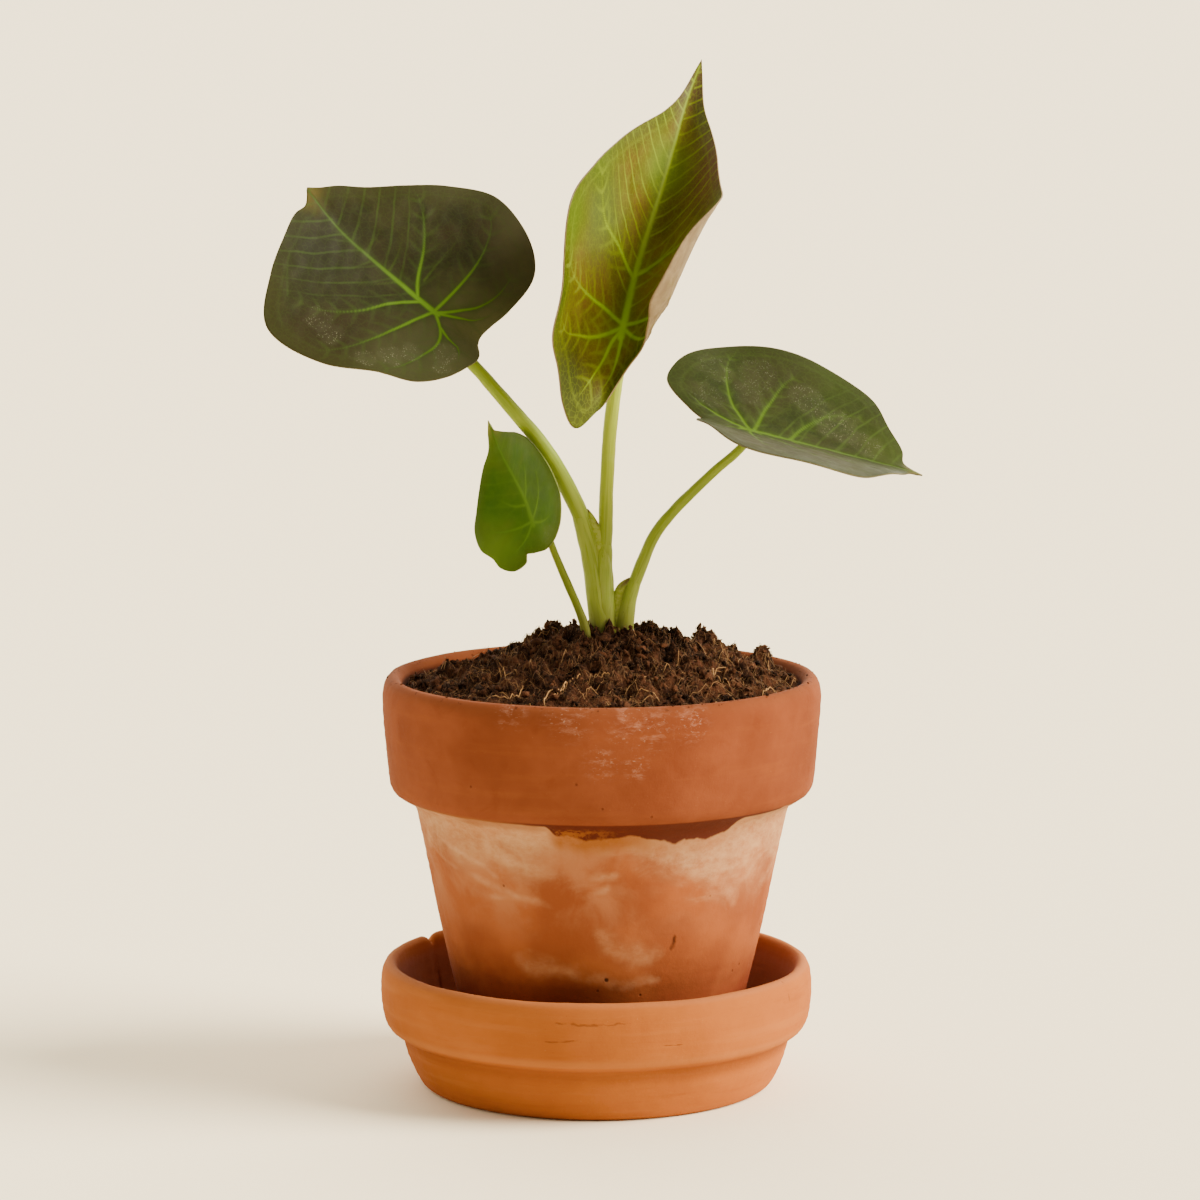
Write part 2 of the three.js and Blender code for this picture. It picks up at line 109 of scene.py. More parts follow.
class Finish:
    """A surface finish as shader nodes, with the colour that its coats have built up so far. A tint
    is a node's output or the numbers that paint takes. A size is in the unit of its place."""

    def __init__(self, name):
        self.material = bpy.data.materials.new(name)
        self.material.use_nodes = True
        self.tree = self.material.node_tree
        self.shader = self.tree.nodes["Principled BSDF"]
        self.place = self.node("TexCoord", {}, "Object")
        self.colour = None

    def node(self, kind, inputs, output=0, **settings):
        return add_node(self.tree, kind, inputs, output, **settings)

    def painted(self, name, output="Fac"):
        """A value that the mesh carries at every point."""
        return self.node("Attribute", {}, output, attribute_name=name)

    def scaled(self, vector, *scale):
        return self.node("Mapping", {"Vector": vector, "Scale": scale})

    def cloud(self, vector, size, detail=3.0, rough=0.55, warp=0.0, output=0):
        """Soft patches of about that size, 0 to 1."""
        return self.node("TexNoise", {"Vector": vector, "Scale": 1.0 / size, "Detail": detail,
                                      "Roughness": rough, "Distortion": warp}, output)

    def cells(self, vector, size, feature="DISTANCE_TO_EDGE"):
        """Cells of about that size: the distance to the nearest wall, or to the centre with F1."""
        return self.node("TexVoronoi", {"Vector": vector, "Scale": 1.0 / size}, "Distance",
                         feature=feature)

    def work(self, way, *values):
        """Values joined by arithmetic: the first with the second, that with the third and so on. A
        lone value is joined with 0."""
        total = values[0]
        for value in values[1:] or (0.0,):
            total = self.node("Math", {0: total, 1: value}, operation=way)
        return total

    def times(self, *values):
        return self.work("MULTIPLY", *values) if len(values) > 1 else values[0]

    def ramp(self, value, low, high, start=0.0, end=1.0):
        """Eases from start to end while value goes from low to high."""
        return self.node("MapRange", {"Value": value, "From Min": low, "From Max": high,
                                      "To Min": start, "To Max": end}, "Result",
                         interpolation_type="SMOOTHSTEP")

    def mix(self, amount, *tints):
        """The first tint goes over to the second as amount goes from 0 to 1."""
        first, second = (paint(*tint) if isinstance(tint, tuple) else tint for tint in tints)
        return self.node("Mix", {0: amount, 6: first, 7: second}, 2, data_type="RGBA")

    def coat(self, tint, *amounts):
        """Lays a tint over the colour so far, as thick as its amounts multiplied together."""
        self.colour = self.mix(self.times(*amounts), self.colour, tint)

    def axis(self, vector, number):
        return self.node("SeparateXYZ", {0: vector}, number)

    def vector(self, way, first, second, output=0):
        """One step of vector arithmetic."""
        return self.node("VectorMath", {0: first, 1: second}, output, operation=way)

    def shaken(self, vector, size, amount):
        """The place moved about by soft noise, so that a mark gets a ragged edge."""
        noise = self.cloud(vector, size, 3.0, 0.5, 0.0, "Color")
        centred = self.vector("SUBTRACT", noise, (0.5, 0.5, 0.5))
        return self.vector("ADD", vector, self.vector("MULTIPLY", centred, (amount,) * 3))

    def spot(self, vector, centre, reach, soft=0.5):
        """1 at a point of the object, easing to 0 at reach from it. In millimetres."""
        away = self.vector("DISTANCE", vector, tuple(MM * c for c in centre), 1)
        return self.ramp(away, MM * reach * (1 - soft), MM * reach, 1.0, 0.0)

    def line(self, vector, start, end, reach):
        """1 on a straight mark between two points, easing to 0 at reach beside it: the distance from
        the place to the nearest point start + t (end - start), t held in 0 to 1. In millimetres."""
        start, end = np.array(start) * MM, np.array(end) * MM
        run = end - start
        from_start = self.vector("SUBTRACT", vector, tuple(start))
        along = self.vector("DOT_PRODUCT", from_start, tuple(run / (run @ run)), 1)
        held = self.node("Clamp", {"Value": along})
        closest = self.node("VectorMath", {0: tuple(run), "Scale": held}, operation="SCALE")
        away = self.vector("DISTANCE", from_start, closest, 1)
        return self.ramp(away, 0.0, MM * reach, 1.0, 0.0)

    def lines(self, vector, marks):
        """The strongest of several straight marks, each (start, end, reach)."""
        return self.work("MAXIMUM", *(self.line(vector, *mark) for mark in marks))

    def spots(self, vector, marks):
        """The strongest of several spots, each (centre, reach) or (centre, reach, soft)."""
        return self.work("MAXIMUM", *(self.spot(vector, *mark) for mark in marks))

    def dress(self, shine, roughness, relief=None, depth=0.0, strength=1.0):
        """Sets the colour, the shine, the roughness and the fine relief, whose full height is depth
        metres."""
        surface = {"Base Color": self.colour, "Specular IOR Level": shine, "Roughness": roughness}
        if relief is not None:
            surface["Normal"] = self.node("Bump", {"Strength": strength, "Distance": depth,
                                                   "Height": relief}, "Normal")
        feed(self.tree, self.shader, surface)
        return self.material


board = Finish("pale_board")
grain = board.cloud(board.place, 0.004)
board.colour = board.mix(grain, (255, 243, 214, 1.0), (255, 246, 220, 1.0))
floor_mesh = bpy.data.meshes.new("floor")
corners = [(x * FLOOR_HALF, y * FLOOR_HALF, 0) for x, y in ((-1, -1), (1, -1), (1, 1), (-1, 1))]
floor_mesh.from_pydata(corners, [], [(0, 1, 2, 3)])
floor_mesh.materials.append(board.dress(0.1, 0.9))
floor = bpy.data.objects.new("floor", floor_mesh)
bpy.context.scene.collection.objects.link(floor)


# The saucer: thrown on a wheel from red clay and fired without a glaze. It has a rounded lip, an
# upright band and a narrower foot, and stands on the floor. The lip has a chip and a hairline crack
# at the back left.
SAUCER_FOOT = [(0, 0), (20, 0), (36, 0), (41.5, 0)]
SAUCER_WALL = [
    (41.5, 0), (42.9, 0.5), (44.1, 1.8), (46.7, 7.3), (48.2, 12.1), (48.7, 13.1), (50.1, 13.9),
    (51.8, 15.2), (52.7, 17.5), (53.3, 22.0), (53.3, 26.0), (52.9, 28.8), (52.1, 30.3), (51.0, 30.9),
    (49.9, 30.4), (49.3, 29.0), (47.4, 17.0), (44.8, 9.8), (41.6, 6.8), (38.5, 6.0),
]
SAUCER_FLOOR = [(38.5, 6), (30, 6), (15, 6), (0, 6)]
LIP_RADIUS, INSIDE_RADIUS = 51, 48
CLAY_COLUMNS = 300
CHIP_ANGLE = math.radians(146.5)
CHIP_WIDTH, CHIP_DEPTH = 1.5, 2.0
CRACK_WIDTH, CRACK_DEPTH = 0.6, 0.25


def curve_at(points, place):
    """A smooth curve through points, at places from 0 to 1 along it, each span taking an equal share.
    It is the centripetal Catmull-Rom curve: between two points it is the cubic whose end slopes come
    from the square roots of the chords."""
    p = np.asarray(points, float)
    p = np.vstack([2 * p[0] - p[1], p, 2 * p[-1] - p[-2]])
    spans = len(p) - 3
    spot = np.clip(place, 0, 1) * spans
    span = np.minimum(spot.astype(int), spans - 1)
    t = (spot - span)[..., None]
    before, start, end, after = (p[span + k] for k in range(4))
    gap = [np.sqrt(np.linalg.norm(second - first, axis=-1, keepdims=True))
           for first, second in ((before, start), (start, end), (end, after))]
    leave = (start - before) / gap[0] - (end - before) / (gap[0] + gap[1]) + (end - start) / gap[1]
    arrive = (end - start) / gap[1] - (after - start) / (gap[1] + gap[2]) + (after - end) / gap[2]
    leave, arrive = leave * gap[1], arrive * gap[1]
    bulge = (3 * (end - start) - 2 * leave - arrive) * t**2
    return start + leave * t + bulge + (2 * (start - end) + leave + arrive) * t**3


def travelled(line):
    """How far along a line each of its points is."""
    return np.concatenate([[0], np.cumsum(np.linalg.norm(np.diff(line, axis=0), axis=1))])


def smooth_line(points, spacing):
    """The smooth curve through points, as points about every spacing of its length."""
    fine = curve_at(points, np.linspace(0, 1, 24 * (len(points) - 1) + 1))
    run = travelled(fine)
    wanted = np.linspace(0, run[-1], max(int(round(run[-1] / spacing)), 1) + 1)
    return np.stack([np.interp(wanted, run, column) for column in fine.T], axis=1)


def ripples(points, size, seed, waves=24):
    """Smooth unevenness of about that size and a mean square of 1: sine waves that run in seeded
    directions, added up."""
    chance = np.random.default_rng(seed)
    run = chance.normal(size=(points.shape[-1], waves))
    run = run / np.linalg.norm(run, axis=0) / (size * chance.uniform(0.6, 1.5, waves))
    shift = chance.uniform(0, 2 * np.pi, waves)
    return np.sin(2 * np.pi * (points @ run) + shift).sum(axis=-1) * math.sqrt(2 / waves)


def quads(rows, columns, round_columns=True):
    """Four-cornered faces of a grid of points that is numbered row by row. The last column joins the
    first one if round_columns is set."""
    row, column = np.meshgrid(
        np.arange(rows - 1), np.arange(columns if round_columns else columns - 1), indexing="ij")
    here = row * columns + column
    beside = row * columns + (column + 1) % columns
    return np.stack([here, beside, beside + columns, here + columns], axis=-1).reshape(-1, 4)


def closed_tube(rows, columns):
    """Faces of a grid of rings that is closed at each end by one more point: squares and triangles."""
    ring, count = np.arange(columns), rows * columns
    ends = [np.stack([rim, np.roll(rim, -1), np.full(columns, middle)], axis=1)
            for rim, middle in ((ring[::-1], count), (count - columns + ring, count + 1))]
    return quads(rows, columns), np.vstack(ends)


def outward(points, *faces):
    """The faces, turned round if the body that they close would have a negative volume."""
    volume = 0.0
    for face in faces:
        a = points[face[:, 0]]
        for k in range(1, face.shape[1] - 1):
            volume += np.einsum("ij,ij->", a, np.cross(points[face[:, k]], points[face[:, k + 1]]))
    return [face if volume > 0 else face[:, ::-1] for face in faces]


def piece_of(name, points, faces, finishes, which=None, **carried):
    """A shaded object from points in millimetres. which says, face by face, what finish it has, and
    carried holds the values that the points carry for it."""
    mesh = bpy.data.meshes.new(name)
    mesh.from_pydata((points * MM).tolist(), [], [row for face in faces for row in face.tolist()])
    mesh.polygons.foreach_set("use_smooth", np.ones(len(mesh.polygons), bool))
    for finish in finishes:
        mesh.materials.append(finish)
    if which is not None:
        mesh.polygons.foreach_set("material_index", which)
    for title, values in carried.items():
        flat = values.ndim == 1
        layer = mesh.attributes.new(title, "FLOAT" if flat else "FLOAT_VECTOR", "POINT")
        layer.data.foreach_set("value" if flat else "vector", values.astype(np.float32).ravel())
    made = bpy.data.objects.new(name, mesh)
    bpy.context.scene.collection.objects.link(made)
    return made


def turned(profile, columns):
    """Points (radius, height) carried round the upright axis: (r cos a, r sin a, z). Gives the
    points row by row, the angles, and the radii and heights as columns."""
    angle = np.linspace(0, 2 * np.pi, columns, endpoint=False)
    radius, height = profile[:, 0][:, None], profile[:, 1][:, None]
    grid = np.stack([radius * np.cos(angle), radius * np.sin(angle), height + 0 * angle], axis=-1)
    return grid, angle, radius, height


def thrown(grid, lines, broad, fine, seed):
    """What the hand leaves on a thrown pot: lines round it and unevenness, each (depth, size)."""
    wander = 0.8 * ripples(grid / [1, 1, 0.3], 60, seed)
    lines_round = lines[0] * np.sin(2 * np.pi * grid[..., 2] / lines[1] + wander)
    uneven = broad[0] * ripples(grid, broad[1], seed + 1) + fine[0] * ripples(grid, fine[1], seed + 2)
    return lines_round, uneven


def push_out(grid, angle, push):
    """Moves the points of a turned grid away from its axis."""
    grid[..., 0] += push * np.cos(angle)
    grid[..., 1] += push * np.sin(angle)


def around(angle, centre):
    """How far an angle is from another one, the short way, in radians."""
    return (angle - centre + np.pi) % (2 * np.pi) - np.pi


saucer_profile = np.vstack([
    smooth_line(SAUCER_FOOT, 9)[1:-1], smooth_line(SAUCER_WALL, 1.05),
    smooth_line(SAUCER_FLOOR, 6)[1:-1]])
saucer_grid, angle, radius, height = turned(saucer_profile, CLAY_COLUMNS)
wall = np.clip((height - 0.6) / 2.0, 0, 1) * np.clip((radius - 37) / 3.0, 0, 1)
lines_round, uneven = thrown(saucer_grid, (0.05, 2.3), (0.10, 22), (0.035, 2.4), 3)
chip = np.exp(-(around(angle, CHIP_ANGLE) * LIP_RADIUS / CHIP_WIDTH) ** 2)
chip = chip * np.clip((height - 28.4) / 1.6, 0, 1) * (1 + 0.3 * ripples(saucer_grid, 1.6, 6))
crack = around(angle, CHIP_ANGLE + 0.02 * np.sin(height / 3)) * INSIDE_RADIUS / CRACK_WIDTH
crack = np.exp(-(crack**2)) * (radius < 50.5) * np.clip((height - 11) / 5, 0, 1)
push = (lines_round + uneven) * wall * 0.9 - 0.15 * wall - 0.25 * chip
push_out(saucer_grid, angle, push + CRACK_DEPTH * crack)
saucer_grid[..., 2] -= CHIP_DEPTH * chip + 0.08 * wall * (1 + np.tanh(uneven * 4))
saucer_points = np.vstack([saucer_grid.reshape(-1, 3), [[0, 0, 0], [0, 0, 6]]])
saucer_faces = outward(saucer_points, *closed_tube(len(saucer_grid), CLAY_COLUMNS))

clay = Finish("saucer_clay")
high = clay.axis(clay.place, 2)
clay.colour = clay.mix(clay.ramp(clay.cloud(clay.place, 0.03, 4.0, 0.6), 0.3, 0.7),
                       (174, 97, 42), (188, 108, 48))
rings = clay.cloud(clay.scaled(clay.place, 1.0, 1.0, 14.0), 0.05, 5.0, 0.6)
clay.coat((202, 126, 66), clay.ramp(rings, 0.5, 0.7, 0.0, 0.3))
clay.coat((148, 74, 28), clay.ramp(rings, 0.45, 0.3, 0.0, 0.3))
clay.coat((188, 118, 72), clay.ramp(high, 0.0292, 0.0306, 0.0, 0.6))
# Painted highlight: a lighter line along the crest of the ledge, where the lamp catches it.
clay.coat((206, 134, 76), clay.ramp(high, 0.0146, 0.0153), clay.ramp(high, 0.0176, 0.0160), 0.35)
# Painted shade: darker under the ledge, where its overhang shades the lower wall.
clay.coat((128, 60, 24), clay.ramp(high, 0.0146, 0.0135), clay.ramp(high, 0.0090, 0.0122), 0.4)
grit = clay.cloud(clay.place, 0.0006, 2.0, 0.7)
clay.coat((216, 150, 92), clay.ramp(grit, 0.66, 0.8, 0.0, 0.3))
clay.coat((116, 56, 24), clay.ramp(grit, 0.33, 0.22, 0.0, 0.35))
clay.coat((176, 112, 90), clay.painted("inside"), clay.ramp(high, 0.0302, 0.0255, 0.0, 0.9))
scratches = clay.lines(clay.shaken(clay.place, 0.003, 0.0014), (
    ((-9.6, -52.6, 26.5), (0.5, -53.3, 26.0), 0.42), ((0.5, -53.3, 26.0), (9.0, -52.7, 26.5), 0.34),
    ((46.9, -25.4, 25.6), (45.0, -25.6, 31.0), 0.4), ((-14.5, -51.4, 21.2), (-4.0, -53.3, 22.4), 0.3),
    ((12.0, -52.0, 20.4), (22.0, -48.6, 20.0), 0.25), ((-42.6, 28.2, 31.0), (-38.4, 26.4, 14.0), 0.8)))
clay.coat((96, 44, 22), scratches, 0.45)
relief = clay.work("ADD", clay.times(clay.cloud(clay.place, 0.0011, 4.0, 0.65), 0.5),
                   clay.times(rings, 0.9))
relief = clay.work("SUBTRACT", relief, scratches)
clay.dress(0.05, clay.ramp(grit, 0.3, 0.7, 0.8, 0.92), relief, 0.0002, 0.7)

inner = (saucer_profile[:, 0] < 51.0) & (saucer_profile[:, 1] > 5.9)
inner = inner & (np.arange(len(inner)) > len(inner) // 2)
inner = np.concatenate([np.repeat(inner.astype(float), CLAY_COLUMNS), [0, 1]])
saucer = piece_of("clay_saucer", saucer_points, saucer_faces, [clay.material], inside=inner)
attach(saucer, "root")
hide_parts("saucer")


# The pot: thrown from the same clay, with a deep rim band and a tapered body, and a drainage hole in
# its floor. It stands loose in the saucer, a little off its middle. Lime from the water has bloomed
# pale through the body, and it is dark under the band, part damp stain and part painted shade.
POT_CENTRE = np.array([1.3, 0.4, 0.0])
BAND_FOOT = 0.0736
POT_OUTER = [
    (31.0, 6.3), (32.1, 7.2), (33.4, 12.5), (39.6, 40.0), (45.7, 68.8), (46.2, 70.1), (47.2, 71.2),
    (49.7, 72.7), (51.2, 73.7), (52.1, 75.3), (52.6, 78.5), (53.1, 84.0), (53.8, 94.8), (53.75, 98.2),
    (53.2, 100.3), (52.3, 101.5), (51.3, 101.9), (50.2, 101.5), (49.3, 100.3), (48.8, 98.0),
    (48.3, 92.0),
]
POT_HIDDEN = [
    (48.3, 92.0), (46.9, 74.0), (41.2, 67.0), (28.8, 14.0), (27.2, 12.3), (6.0, 12.3), (6.0, 6.4),
    (31.0, 6.3),
]
pot_line = np.vstack([smooth_line(POT_OUTER, 1.2), smooth_line(POT_HIDDEN, 7.0)[1:-1]])
pot_grid, angle, radius, height = turned(pot_line, CLAY_COLUMNS)
wall = np.clip((radius - 31.5) / 2.0, 0, 1) * np.clip((height - 7) / 3, 0, 1)
lines_round, uneven = thrown(pot_grid, (0.03, 3.1), (0.09, 26), (0.03, 2.6), 13)
push_out(pot_grid, angle, np.clip(lines_round + uneven, -0.4, 0.14) * wall)
pot_points = pot_grid.reshape(-1, 3) + POT_CENTRE
pot_faces = outward(pot_points, quads(len(pot_line) + 1, CLAY_COLUMNS) % len(pot_points))

fired = Finish("pot_clay")
here = fired.place
side, depth, high = (fired.axis(here, number) for number in range(3))
fired.colour = fired.mix(fired.ramp(fired.cloud(here, 0.028, 4.0, 0.6), 0.3, 0.7),
                         (126, 64, 36), (147, 79, 47))
rings = fired.cloud(fired.scaled(here, 1.0, 1.0, 12.0), 0.05, 5.0, 0.6)
fired.coat((162, 90, 46), fired.ramp(rings, 0.5, 0.72, 0.0, 0.25))
burnt = fired.cloud(here, 0.011, 5.0, 0.65, 0.8)
fired.coat((116, 54, 28), fired.ramp(burnt, 0.52, 0.72, 0.0, 0.35))
fired.coat((136, 76, 44), fired.ramp(high, 0.0985, 0.1020, 0.0, 0.4))
band_colour = fired.colour

# The body below the band: orange, redder low down, with lime bloomed above a ragged edge.
fired.colour = fired.mix(fired.ramp(fired.cloud(here, 0.02, 3.0, 0.5), 0.4, 0.62),
                         (148, 78, 42), (166, 92, 50))
sway = fired.cloud(here, 0.014, 4.0, 0.6)
fired.coat((120, 48, 28), fired.ramp(fired.work("ADD", high, fired.times(sway, 0.014)), 0.046, 0.026))
haze = fired.ramp(fired.cloud(here, 0.017, 5.0, 0.6, 0.6), 0.38, 0.66)
fired.coat((190, 130, 92), haze, fired.ramp(high, 0.040, 0.056),
           fired.ramp(side, 0.020, -0.010, 0.35, 1.0), 0.6)
drift = fired.cloud(fired.scaled(here, 1.0, 1.0, 1.5), 0.018, 6.0, 0.6, 0.9)
edge = fired.work("ADD", high, fired.times(fired.work("SUBTRACT", drift, 0.5), 0.026),
                  fired.ramp(side, -0.010, 0.040, 0.0, 0.006))
edge = fired.work("SUBTRACT", edge, fired.times(
    fired.spot(here, (2.0, -45.0, 64.0), 20.0, 0.9), 0.006))
worn = fired.ramp(fired.cloud(fired.scaled(here, 1.0, 1.0, 1.6), 0.004, 7.0, 0.75),
                  0.25, 0.7, 0.3, 1.0)
fired.coat((226, 184, 138), fired.ramp(edge, 0.0560, 0.0700), worn,
           fired.ramp(side, -0.030, 0.036, 0.58, 0.60))
strokes = fired.lines(fired.shaken(here, 0.022, 0.010), (
    ((-38.0, -23.0, 59.0), (-12.0, -41.0, 52.5), 1.7), ((-30.0, -31.0, 51.5), (2.0, -43.0, 57.5), 1.5),
    ((-38.0, -22.0, 66.0), (-24.0, -35.0, 58.0), 1.4), ((-24.0, -37.0, 62.5), (4.0, -44.0, 60.0), 1.7),
    ((-40.0, -16.0, 62.0), (-28.0, -32.0, 55.0), 1.2)))
fired.coat((220, 172, 130), strokes, worn, 0.4)
smears = fired.lines(fired.shaken(here, 0.007, 0.009), (
    ((-17.0, -34.0, 37.0), (-6.0, -37.0, 36.0), 4.5), ((2.0, -39.0, 43.0), (12.0, -37.0, 39.0), 4.6),
    ((-3.0, -36.0, 34.5), (12.0, -35.0, 33.0), 3.0), ((30.0, -33.0, 58.0), (34.0, -28.0, 52.0), 3.0)))
fired.coat((208, 150, 106), smears, worn, 0.55)

# The dark band under the rim band is part damp stain and part painted shade beneath its overhang:
# it hangs from the band, deepest in a lobe in front, with an ochre and a rusty border.
wobble = fired.cloud(fired.scaled(here, 1.0, 1.0, 0.3), 0.010, 4.0, 0.5)
wobble = fired.times(fired.work("SUBTRACT", wobble, 0.5), 0.0065)
lobe = fired.times(fired.ramp(side, -0.0125, -0.0085), fired.ramp(side, 0.0360, 0.0290),
                   fired.ramp(depth, 0.005, -0.005))
deeper = fired.times(fired.ramp(side, 0.0120, 0.0200), 0.0016)
streak = fired.times(fired.ramp(side, -0.046, -0.042), fired.ramp(side, 0.0455, 0.0440))
above = fired.work("ADD", high, fired.times(lobe, fired.work("ADD", deeper, 0.0034)),
                   fired.times(streak, 0.0007), fired.times(wobble, fired.work("ADD", lobe, 0.10)))
above = fired.work("SUBTRACT", above, BAND_FOOT)
fringe = fired.times(fired.ramp(above, -0.0050, -0.0012), fired.ramp(side, -0.016, -0.010),
                     fired.ramp(side, 0.018, 0.006, 0.3, 1.0), lobe)
fired.coat((158, 92, 38), fringe, fired.ramp(worn, 0.35, 0.9, 0.65, 0.95))
fired.coat((150, 92, 52), fired.ramp(above, -0.0030, -0.0010), fired.ramp(side, -0.036, -0.030),
           fired.ramp(side, -0.008, -0.014), 0.55)
# Part damp stain, part painted shade under the band's overhang.
stain_and_shade = fired.ramp(above, -0.0003, 0.0004)
fired.coat(fired.mix(fired.ramp(side, -0.030, -0.012), (140, 78, 40), (82, 30, 22)), stain_and_shade, 0.95)
dried = fired.times(fired.ramp(side, 0.010, -0.008),
                    fired.ramp(fired.cloud(here, 0.0030, 5.0, 0.7), 0.46, 0.60),
                    fired.ramp(high, 0.0728, 0.0712, 0.0, 0.75))
fired.coat((158, 92, 38), dried, stain_and_shade)
on_body = fired.ramp(high, BAND_FOOT + 0.0003, BAND_FOOT - 0.0003)
fired.colour = fired.mix(on_body, band_colour, fired.colour)

# All over: salt on the band, grit, black pits and chips, a dark inside wall and mix on the lip.
smudge = fired.scaled(fired.shaken(here, 0.003, 0.002), 1.0, 1.0, 2.8)
smudge = fired.cloud(smudge, 0.0040, 6.0, 0.74)
salted = fired.spots(here, (
    ((-6, -52, 100.5), 9, 0.9), ((10, -52, 99.0), 11, 0.9), ((-20, -48, 100.5), 6, 0.9),
    ((1, -53, 89), 6, 0.9), ((9, -53, 88), 5, 0.9), ((22, -48, 98), 7, 0.9)))
fired.coat((196, 140, 118), fired.ramp(smudge, 0.47, 0.70), salted, 0.5)
fleck = fired.cloud(fired.scaled(here, 1.0, 1.0, 1.8), 0.0011, 3.0, 0.7)
fired.coat((226, 186, 164), fired.ramp(fleck, 0.60, 0.68), salted, 0.3)
grit = fired.cloud(here, 0.0005, 2.0, 0.7)
fired.coat((206, 140, 92), fired.ramp(grit, 0.68, 0.82, 0.0, 0.3))
pit = fired.times(fired.ramp(fired.cells(here, 0.0062, "F1"), 0.075, 0.035),
                  fired.ramp(fired.cloud(here, 0.02, 1.0), 0.5, 0.56))
fired.coat((70, 28, 14), pit, 0.5)
gouge = fired.line(fired.shaken(here, 0.002, 0.0014), (18.6, -35.9, 43.6), (17.9, -35.2, 41.0), 0.9)
chips = fired.work("MAXIMUM", gouge, fired.spots(here, (
    ((27.6, -33.2, 53.0), 0.6), ((2.4, -38.0, 33.5), 0.7), ((27.8, -45.5, 77.0), 0.8),
    ((26.4, -46.5, 75.4), 0.5))))
fired.coat((50, 18, 10), chips, 0.85)
fired.coat((64, 30, 19), fired.painted("inside"), 0.85)
fired.coat((62, 30, 18), fired.ramp(high, 0.1003, 0.1020),
           fired.ramp(fired.cloud(here, 0.0013, 3.0, 0.7), 0.60, 0.68))
relief = fired.work("ADD", fired.times(fired.cloud(here, 0.0010, 4.0, 0.65), 0.6),
                    fired.times(rings, 0.6))
relief = fired.work("SUBTRACT", relief, fired.work("ADD", pit, chips))
fired.dress(0.05, fired.ramp(grit, 0.3, 0.7, 0.8, 0.92), relief, 0.00018, 0.6)

past_lip = np.cumsum(pot_line[:, 1] >= pot_line[:, 1].max()) > 0
inner = np.repeat((past_lip & (pot_line[:, 1] < 100.2)).astype(float), CLAY_COLUMNS)
pot = piece_of("clay_pot", pot_points, pot_faces, [fired.material], inside=inner)
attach(pot, "root")
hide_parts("pot")


# The potting mix: moist coir and peat, pressed in by hand and heaped against the stem. It fills the
# pot, has settled at the back left and sunk a little at the left, and is loose on top, with clods,
# crumbs and fibres.
SOIL_SIDE = [(46.6, 74.0), (40.9, 67.0), (28.5, 14.0), (26.9, 12.6)]
SOIL_COLUMNS = 320
SOIL_REACH = 48.2
HEAP_EDGE, HEAP_RISE, LOOSE_SINK = 99.3, 15.4, 1.6
SETTLED_TOWARDS, SETTLED_BY = 2.45, 3.2
CLODS = [
    (26.5, 27.0, 5.0, 4.0), (40.0, 14.0, 4.2, 3.0), (31.0, 20.0, 2.5, 4.5), (16.0, 8.0, 1.8, 6.0),
    (-14.0, 4.0, 2.2, 4.0), (-9.0, -3.0, 1.6, 3.0), (22.0, -12.0, 1.4, 5.0), (-26.0, 6.0, -3.0, 10.0),
]


def loose_height(x, y):
    """The heap's height at a place, in millimetres: highest at the stem, with long low lumps, settled
    at the back left, then sunk at the stem, with clods (x, y, rise, width) as rise times e to the
    minus (distance / width) to the 4, and smaller and smaller unevenness, less at the pot's wall."""
    reach = np.hypot(x, y) / SOIL_REACH
    turn = np.arctan2(y, x) - SETTLED_TOWARDS
    settled = SETTLED_BY * np.exp(-((turn / 0.55) ** 2)) * reach**4
    height = HEAP_EDGE + HEAP_RISE * (1 - reach**1.3) - settled
    for rise, across_x, across_y, shift in ((0.3, 0.31, 0.27, 1.4), (0.3, 0.31, -0.27, 0.6),
                                            (0.5, 0.17, -0.41, 0.0)):
        height = height + rise * np.sin(across_x * x + across_y * y + shift)
    height = height - LOOSE_SINK * (1 - reach**4)
    for clod_x, clod_y, rise, wide in CLODS:
        height = height + rise * np.exp(-(np.hypot(x - clod_x, y - clod_y) / wide) ** 4)
    place = np.stack([x, y], axis=-1)
    rough = sum(depth * ripples(place, size, seed) for depth, size, seed in (
        (0.7, 7.0, 21), (0.45, 3.2, 22), (0.42, 1.5, 23), (0.3, 0.8, 24)))
    return height + rough * (1 - 0.6 * reach**6)


soil_radius = np.concatenate([[SOIL_REACH], np.linspace(47.9, 4.0, 118)])[:, None]
side_rows, angle, _, _ = turned(np.array(SOIL_SIDE), SOIL_COLUMNS)
x, y = soil_radius * np.cos(angle), soil_radius * np.sin(angle)
soil_grid = np.concatenate([side_rows[::-1], np.stack([x, y, loose_height(x, y)], axis=-1)])
soil_points = np.vstack([soil_grid.reshape(-1, 3), [[0, 0, 12.6], [0, 0, 111.5]]]) + POT_CENTRE
soil_faces = outward(soil_points, *closed_tube(len(soil_grid), SOIL_COLUMNS))


def moisten(loose, bit_size, highlight_tint, highlight_ramp, pore_shade_ramp, depth):
    """Finishes moist mix: pale specks as painted highlights on its raised grain and black pores as
    painted shade in its hollows, both of about bit_size, on the colour so far.
    """
    fine = loose.cloud(loose.place, bit_size, 4.0, 0.7)
    # Painted highlights on the raised grain, then painted shade in the hollows.
    loose.coat(highlight_tint, loose.ramp(fine, *highlight_ramp))
    loose.coat((20, 12, 9), loose.ramp(fine, *pore_shade_ramp))
    loose.dress(0.06, 0.95, fine, depth)


